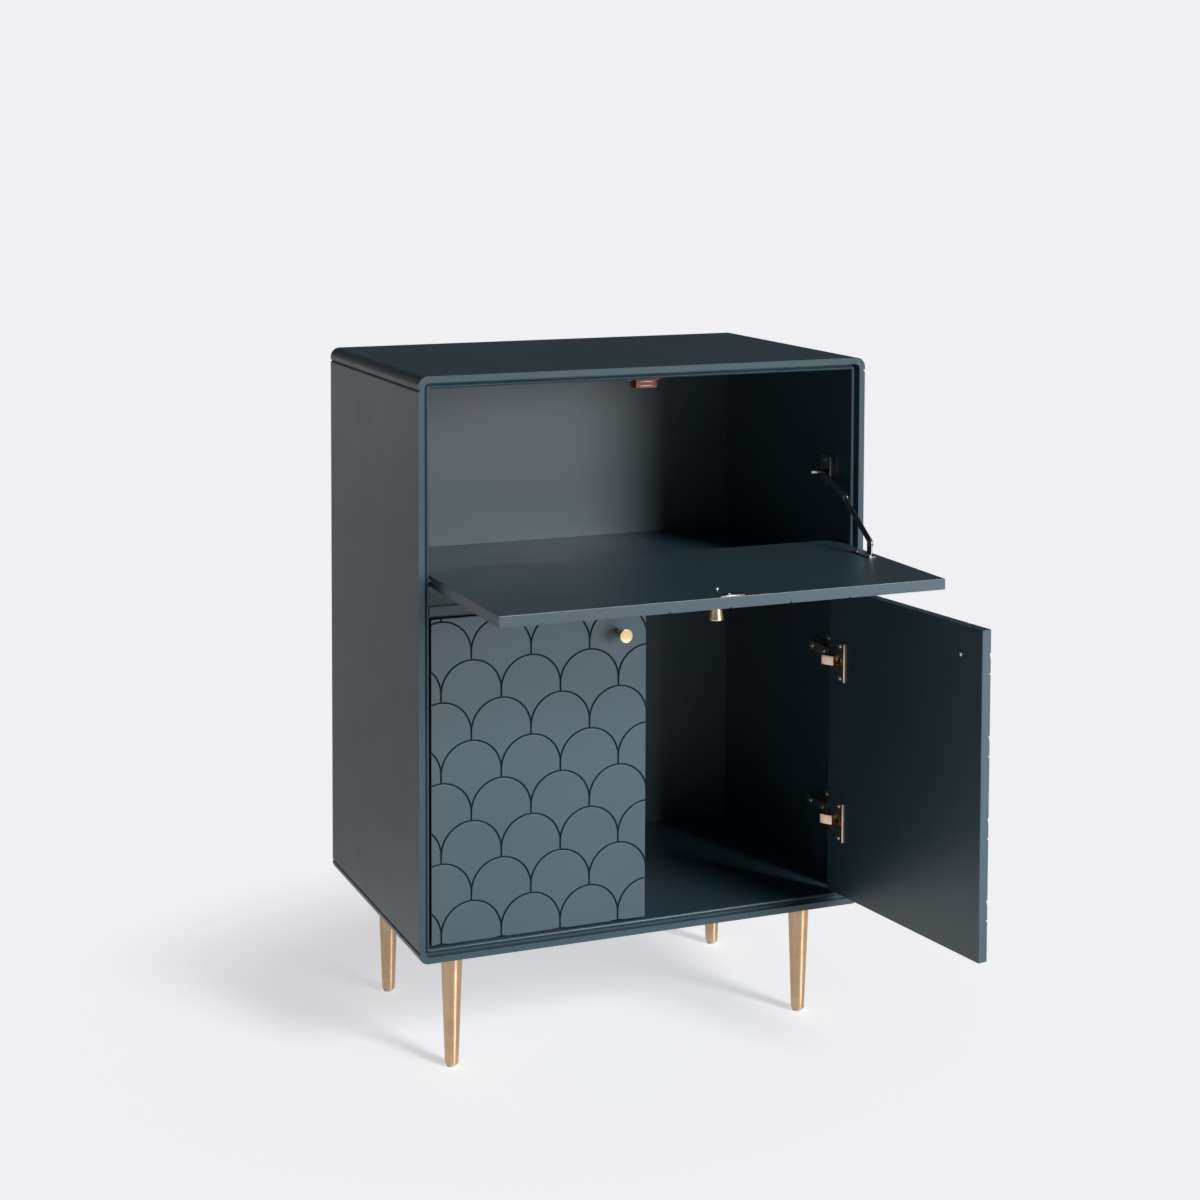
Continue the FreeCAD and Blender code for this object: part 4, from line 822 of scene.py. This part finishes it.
for side, sign in (("left", -1), ("right", 1)):
    cup_screw_places = []
    for row, level in HINGE_LEVELS.items():
        hinge = f"{side}_{row}_hinge"
        # the cup's own frame: X to the cabinet's right, Y up, Z out of the door's inner face
        place_of_cup = Matrix.Translation((sign * CUP_ACROSS, FRONT_INNER_FACE, level))
        frame_of_cup = place_of_cup @ CUP_AXES
        outline = flange_outline(-FLANGE_RADIUS, 0.001)
        if sign < 0:
            outline = [(-across, up) for across, up in reversed(outline)]
        cup = placed(hinge + "_cup_pressing", extruded("flange", outline, 0, FLANGE_THICKNESS))
        shell = turned_mesh("cup_shell", CUP_PROFILE, 40)
        slant = [(-sign * (FLANGE_RADIUS - inward), up) for inward, up in LIP_SECTION]
        lip = extruded("lip", slant, -LIP_HALF_HEIGHT, LIP_HALF_HEIGHT)
        lip.transform(Matrix.Rotation(math.pi / 2, 4, "X"))
        carved(cup, [shell, lip], "UNION")
        mouth = box_mesh("mouth", (-0.0155, -0.0048, -0.0100), (0.0155, 0.0048, 0.004))
        carved(cup, [mouth])
        eased(cup, 0.00035)
        cup.data.transform(frame_of_cup)
        cup.data.flip_normals()
        cup.data.transform(door_opened[side])
        finished(cup, nickel, side + "_door_leaf", "nickel_steel", hinge + "_cup")
        for step in (-1, 1):
            across = sign * (CUP_ACROSS - 0.005)
            height = level + step * CUP_SCREW_STEP
            spot = (across, FRONT_INNER_FACE + FLANGE_THICKNESS, height)
            cup_screw_places.append((spot, (0, 1, 0)))
        link = eased_copy(hinge + "_link", hinge + "_link_pressing", 0.0003)
        # the bow is drawn from the link's pin with the door open, and turned back for a closed one
        pivot = joint_entry(f"{side}_{row}_link_turn")
        closing = 0 if side == "right" else math.radians(pivot["range_deg"][1])
        outline = [(sign * across, back) for across, back in BOW_OUTLINE]
        bow = placed("bow", extruded("bow", outline, -BOW_HALF_HEIGHT, BOW_HALF_HEIGHT))
        bow = eased(bow, 0.0006, 3)
        at_pin = Matrix.Translation(Vector(pivot["pos_m"]))
        bow.data.transform(at_pin @ Matrix.Rotation(closing, 4, "Z"))
        joined = bmesh.new()
        joined.from_mesh(link.data)
        joined.from_mesh(bow.data)
        joined.to_mesh(link.data)
        joined.free()
        bpy.data.objects.remove(bow)
        finished(link, nickel, f"{side}_{row}_link", "nickel_steel", hinge + "_link")
        arm = eased_copy(hinge + "_arm", hinge + "_arm_pressing", 0.0005)
        finished(arm, nickel, "cabinet", "nickel_steel", hinge + "_arm")
        plate = eased_copy(hinge + "_plate", hinge + "_plate_pressing", 0.0005)
        finished(plate, nickel, "cabinet", "nickel_steel", hinge + "_plate")
    group = screws(side + "_cup_screw_heads", small_head, cup_screw_places, door_opened[side])
    finished(group, zinc, side + "_door_leaf", "zinc_steel", side + "_door_cup_screws")
plate_places = []
arm_places = []
for sign in (-1, 1):
    for level in HINGE_LEVELS.values():
        for step in (-1, 1):
            plate_places.append(((sign * 0.330, -0.140, level + step * 0.016), (-sign, 0, 0)))
        arm_places.append(((sign * 0.3175, -0.112, level), (-sign, 0, 0)))
        arm_places.append(((sign * 0.3175, -0.147, level), (-sign, 0, 0)))
group = screws("hinge_plate_screw_heads", small_head, plate_places, home)
finished(group, zinc, "cabinet", "zinc_steel", "hinge_plate_screws")
# the arms' own screws stand for no node of the frame
group = screws("hinge_arm_screw_heads", small_head, arm_places, home)
group.data.materials.clear()
group.data.materials.append(zinc)
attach(group, "cabinet")


# Flap stay: two flat dark links between an angle on the right wall and an eared plate on the
# flap. They turn on a shouldered bolt, an elbow rivet and a flap rivet, and fold up behind the
# flap as it closes. A curl of wire hangs under the wall angle.

dark_nickel = satin_metal("dark_nickel_plate", (0.30, 0.275, 0.265), 0.36, (1, 1, 1), 500.0, 0.04)
for node, ease, body in (
    ("stay_upper_link", 0.0003, "stay_upper_arm"),
    ("stay_lower_link", 0.0003, "stay_lower_arm"),
    ("stay_flap_bracket", 0.0004, "flap"),
    ("stay_wall_bracket", 0.0004, "cabinet"),
):
    piece = eased_copy(node, node + "_strip", ease)
    finished(piece, dark_nickel, body, "dark_nickel", node)


def stepped_pin(steps, round_edge=0.0003):
    """The profile of a turned pin from (radius, start, end) steps, each with a softened head."""
    profile = [(0, steps[0][1])]
    for radius, start, end in steps:
        profile += [(radius - round_edge, start), (radius, start + round_edge)]
        profile += [(radius, end - round_edge), (radius - round_edge, end)]
    profile.append((0, steps[-1][2]))
    return profile


along_x = Matrix.Rotation(math.pi / 2, 4, "Y")


def pinned(name, steps, back, up, round_edge=0.0003):
    """A turned pin along X from its steps, at a place of the carcass with the flap open."""
    place = home @ Matrix.Translation((0, back, up)) @ along_x
    return turned_piece(name, stepped_pin(steps, round_edge), place, 32)


bolt_steps = (
    (0.00425, 0.30015, 0.31815),
    (0.0025, 0.31815, 0.32045),
    (0.00425, 0.32045, 0.330),
    (0.0025, 0.330, 0.3408),
)
bolt = pinned("stay_bolt_turning", bolt_steps, -0.135, 0.8205)
finished(bolt, dark_nickel, "cabinet", "dark_nickel", "stay_pivot_bolt")
low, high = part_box("stay_elbow_rivet")
elbow = home.inverted() @ ((low + high) / 2)
rivet_steps = ((0.0035, 0.315, 0.316), (0.002, 0.316, 0.31815))
rivet = pinned("stay_elbow_rivet_turning", rivet_steps, elbow.y, elbow.z, 0.0002)
finished(rivet, zinc, "stay_lower_arm", "dark_nickel", "stay_elbow_rivet")
rivet_steps = ((0.0035, 0.3127, 0.3137), (0.002, 0.3137, 0.318))
rivet = pinned("stay_flap_rivet_turning", rivet_steps, -0.281, 0.739, 0.0002)
finished(rivet, zinc, "flap", "dark_nickel", "stay_flap_rivet")
bracket_places = [((0.30735, -0.181, level), (0, 1, 0)) for level in (0.781, 0.818)]
group = screws("flap_bracket_screw_heads", small_head, bracket_places, flap_opened)
finished(group, zinc, "flap", "zinc_steel", "stay_flap_bracket_screws")
bracket_places = [((0.330, -0.126, 0.836), (-1, 0, 0))]
group = screws("wall_bracket_screw_heads", small_head, bracket_places, home)
finished(group, zinc, "cabinet", "zinc_steel", "stay_wall_bracket_screws")
curl = eased_copy("stay_wire_curl", "stay_wire_curl_ring", 0.0002)
finished(curl, zinc, "cabinet", "dark_nickel", "stay_wire_curl")


# Magnetic catch: a reddish brown moulding screwed under the top board, with two steel pole
# strips that meet the zinc strike plate on the flap. The flap's pivot pins are steel too.


def moulded(name, colour, roughness):
    """Glossy moulded plastic with a slight sink and mottling."""
    finish = satin_lacquer(name, colour, roughness, cloud=0.12, peel=0.05)
    shader = finish.node_tree.nodes["Principled BSDF"]
    shader.inputs["Specular IOR Level"].default_value = 0.5
    return finish


catch_plastic = moulded("brown_catch_plastic", (0.24, 0.055, 0.03), 0.4)
housing = eased_copy("catch_housing", "catch_moulding", 0.0007, 3)
finished(housing, catch_plastic, "cabinet", "catch_plastic", "catch_housing")
poles = eased_copy("catch_pole_strips", "catch_poles", 0.0002)
finished(poles, dark_nickel, "cabinet", "zinc_steel", "catch_pole_strips")
catch_places = [((across, -0.1722, 0.979), (0, 0, -1)) for across in (-0.01575, 0.02575)]
group = screws("catch_screw_heads", small_head, catch_places, home)
finished(group, zinc, "cabinet", "zinc_steel", "catch_screws")
strike = eased_copy("strike_plate", "strike_plate_pressing", 0.0003)
finished(strike, zinc, "flap", "zinc_steel", "strike_plate")
strike_spot = (0.005, FRONT_INNER_FACE + 0.001 - 0.0018, 0.9685)
group = screws("strike_screw_head", small_head, [(strike_spot, (0, 1, 0))], flap_opened)
finished(group, zinc, "flap", "zinc_steel", "strike_plate_screw")
pins = eased_copy("flap_pivot_pins", "flap_pins", 0.0003)
finished(pins, zinc, "cabinet", "zinc_steel", "flap_pivot_pins")
for head in (small_head, knob_head):
    bpy.data.objects.remove(head)


# Studio: a pale floor that fades into an even pale backdrop. Three far lights, one above the
# other, make one tall soft light to the right of the front. A panel kept in by a grid stands
# nearer on the right, and a large pale card behind on the left.

PALE = (0.871, 0.871, 0.896)
FLOOR_SHADE = 0.82
FLOOR_LIFT = (0.54, 0.54, 0.555)


def either(nodes, links, first, second):
    """The greater of two values: one where either of two ray flags is set."""
    flag = nodes.new("ShaderNodeMath")
    flag.operation = "MAXIMUM"
    links.new(first, flag.inputs[0])
    links.new(second, flag.inputs[1])
    return flag.outputs["Value"]


def pale_surroundings():
    """An even backdrop for the camera, and a dim room for everything that the object mirrors."""
    world = bpy.data.worlds.new("pale_studio")
    bpy.context.scene.world = world
    world.use_nodes = True
    nodes = world.node_tree.nodes
    links = world.node_tree.links
    seen = nodes["Background"]
    seen.inputs["Color"].default_value = (*PALE, 1)
    fill = nodes.new("ShaderNodeBackground")
    fill.inputs["Color"].default_value = (0.93, 0.96, 1.0, 1)
    fill.inputs["Strength"].default_value = 0.055
    rays = nodes.new("ShaderNodeLightPath")
    clear = either(nodes, links, rays.outputs["Is Camera Ray"], rays.outputs["Is Transmission Ray"])
    mix = nodes.new("ShaderNodeMixShader")
    links.new(clear, mix.inputs["Fac"])
    links.new(fill.outputs["Background"], mix.inputs[1])
    links.new(seen.outputs["Background"], mix.inputs[2])
    links.new(mix.outputs["Shader"], nodes["World Output"].inputs["Surface"])


def floor_paint():
    """White matt paint. Seen or mirrored it is as pale as the backdrop, dimmer towards the back
    where it is mirrored, and near the cabinet it shows the shadows."""
    finish = bpy.data.materials.new("pale_floor")
    finish.use_nodes = True
    nodes = finish.node_tree.nodes
    links = finish.node_tree.links
    bounce = nodes["Principled BSDF"]
    bounce.inputs["Base Color"].default_value = (0.72, 0.72, 0.72, 1)
    near = nodes.new("ShaderNodeBsdfPrincipled")
    near.inputs["Base Color"].default_value = (FLOOR_SHADE, FLOOR_SHADE, FLOOR_SHADE, 1)
    near.inputs["Emission Color"].default_value = (*FLOOR_LIFT, 1)
    near.inputs["Emission Strength"].default_value = 1.0
    for paint in (bounce, near):
        paint.inputs["Roughness"].default_value = 0.9
        paint.inputs["Specular IOR Level"].default_value = 0.0
    far = nodes.new("ShaderNodeEmission")
    far.inputs["Color"].default_value = (*PALE, 1)
    place = nodes.new("ShaderNodeTexCoord")
    rays = nodes.new("ShaderNodeLightPath")
    parts = nodes.new("ShaderNodeSeparateXYZ")
    links.new(place.outputs["Object"], parts.inputs["Vector"])
    dimmed = nodes.new("ShaderNodeMapRange")
    ramp = {"From Min": 0.2, "From Max": 1.0, "To Min": 1.0, "To Max": 0.5}
    for end, value in ramp.items():
        dimmed.inputs[end].default_value = value
    links.new(parts.outputs["Y"], dimmed.inputs["Value"])
    glow = either(nodes, links, rays.outputs["Is Camera Ray"], dimmed.outputs["Result"])
    links.new(glow, far.inputs["Strength"])
    oval = nodes.new("ShaderNodeMapping")
    oval.vector_type = "TEXTURE"
    oval.inputs["Location"].default_value = (-0.1, 0.2, 0)
    oval.inputs["Scale"].default_value = (1.2, 1.0, 1.0)
    links.new(place.outputs["Object"], oval.inputs["Vector"])
    away = nodes.new("ShaderNodeVectorMath")
    away.operation = "LENGTH"
    links.new(oval.outputs["Vector"], away.inputs[0])
    fade = nodes.new("ShaderNodeMapRange")
    fade.interpolation_type = "SMOOTHSTEP"
    fade.inputs["From Min"].default_value = 0.28
    fade.inputs["From Max"].default_value = 0.7
    links.new(away.outputs["Value"], fade.inputs["Value"])
    faded = nodes.new("ShaderNodeMixShader")
    links.new(fade.outputs["Result"], faded.inputs["Fac"])
    links.new(near.outputs["BSDF"], faded.inputs[1])
    links.new(far.outputs["Emission"], faded.inputs[2])
    seen = either(nodes, links, rays.outputs["Is Camera Ray"], rays.outputs["Is Glossy Ray"])
    seen = either(nodes, links, seen, rays.outputs["Is Transmission Ray"])
    shown = nodes.new("ShaderNodeMixShader")
    links.new(seen, shown.inputs["Fac"])
    links.new(bounce.outputs["BSDF"], shown.inputs[1])
    links.new(faded.outputs["Shader"], shown.inputs[2])
    links.new(shown.outputs["Shader"], nodes["Material Output"].inputs["Surface"])
    return finish


def sun(name, azimuth, height, strength, spread):
    """A far light, its azimuth counted from the front towards the right."""
    lamp = bpy.data.lights.new(name, "SUN")
    lamp.energy = strength
    lamp.angle = math.radians(spread)
    holder = bpy.data.objects.new(name, lamp)
    turn = math.radians(azimuth)
    level = math.cos(math.radians(height))
    rise = math.sin(math.radians(height))
    from_front = Vector((level * math.sin(turn), -level * math.cos(turn), rise))
    holder.rotation_euler = from_front.to_track_quat("Z", "Y").to_euler()
    bpy.context.scene.collection.objects.link(holder)


def soft_panel(name, place, target, width, height, power, colour=(1, 1, 1), spread=180):
    """A soft box of light at a place, turned to a target, its spread kept in by a grid."""
    lamp = bpy.data.lights.new(name, "AREA")
    lamp.shape = "RECTANGLE"
    lamp.size = width
    lamp.size_y = height
    lamp.energy = power
    lamp.color = colour
    lamp.spread = math.radians(spread)
    holder = bpy.data.objects.new(name, lamp)
    holder.location = place
    away = Vector(place) - Vector(target)
    holder.rotation_euler = away.to_track_quat("Z", "Y").to_euler()
    bpy.context.scene.collection.objects.link(holder)
    return holder


pale_surroundings()
reach = 400.0
ground = bpy.data.meshes.new("studio_floor")
corners = [(-reach, -reach, 0), (reach, -reach, 0), (reach, reach, 0), (-reach, reach, 0)]
ground.from_pydata(corners, [], [(0, 1, 2, 3)])
ground.materials.append(floor_paint())
floor_piece = placed("studio_floor", ground)
sun("tall_light_low", 26, 5, 0.6, 20)
sun("tall_light_middle", 26, 16, 0.75, 20)
sun("tall_light_high", 26, 34, 1.25, 15)
right_panel = soft_panel(
    "right_panel", (0.8, -1.0, 0.62), (0.38, -0.5, 0.56), 0.35, 0.5, 0.6, spread=50
)
right_panel.visible_glossy = False
soft_panel("back_left_card", (-2.2, 3.5, 1.5), (0, 0, 0.8), 2.0, 2.6, 3.5, (1.0, 0.95, 0.9))

# in pixels of the photograph: its side, the focal length and the point that the camera looks at
PICTURE_SIDE = 1200
FOCAL_LENGTH = 2142.48
LOOK_POINT = (448, 250)
lens = bpy.data.cameras.new("photo_camera")
lens.sensor_width = 36
lens.lens = FOCAL_LENGTH / PICTURE_SIDE * lens.sensor_width
lens.shift_x = (PICTURE_SIDE / 2 - LOOK_POINT[0]) / PICTURE_SIDE
lens.shift_y = -(PICTURE_SIDE / 2 - LOOK_POINT[1]) / PICTURE_SIDE
camera = bpy.data.objects.new("photo_camera", lens)
camera.location = home @ Vector((-1.31159, -2.95439, 1.34431))
turn, tilt, roll = -0.35047, math.pi / 2 - 0.05851, -0.0009
look = Matrix.Rotation(turn, 4, "Z") @ Matrix.Rotation(tilt, 4, "X")
camera.rotation_euler = (look @ Matrix.Rotation(roll, 4, "Z")).to_euler()
bpy.context.scene.collection.objects.link(camera)
bpy.context.scene.camera = camera
bpy.context.scene.view_settings.view_transform = "Standard"
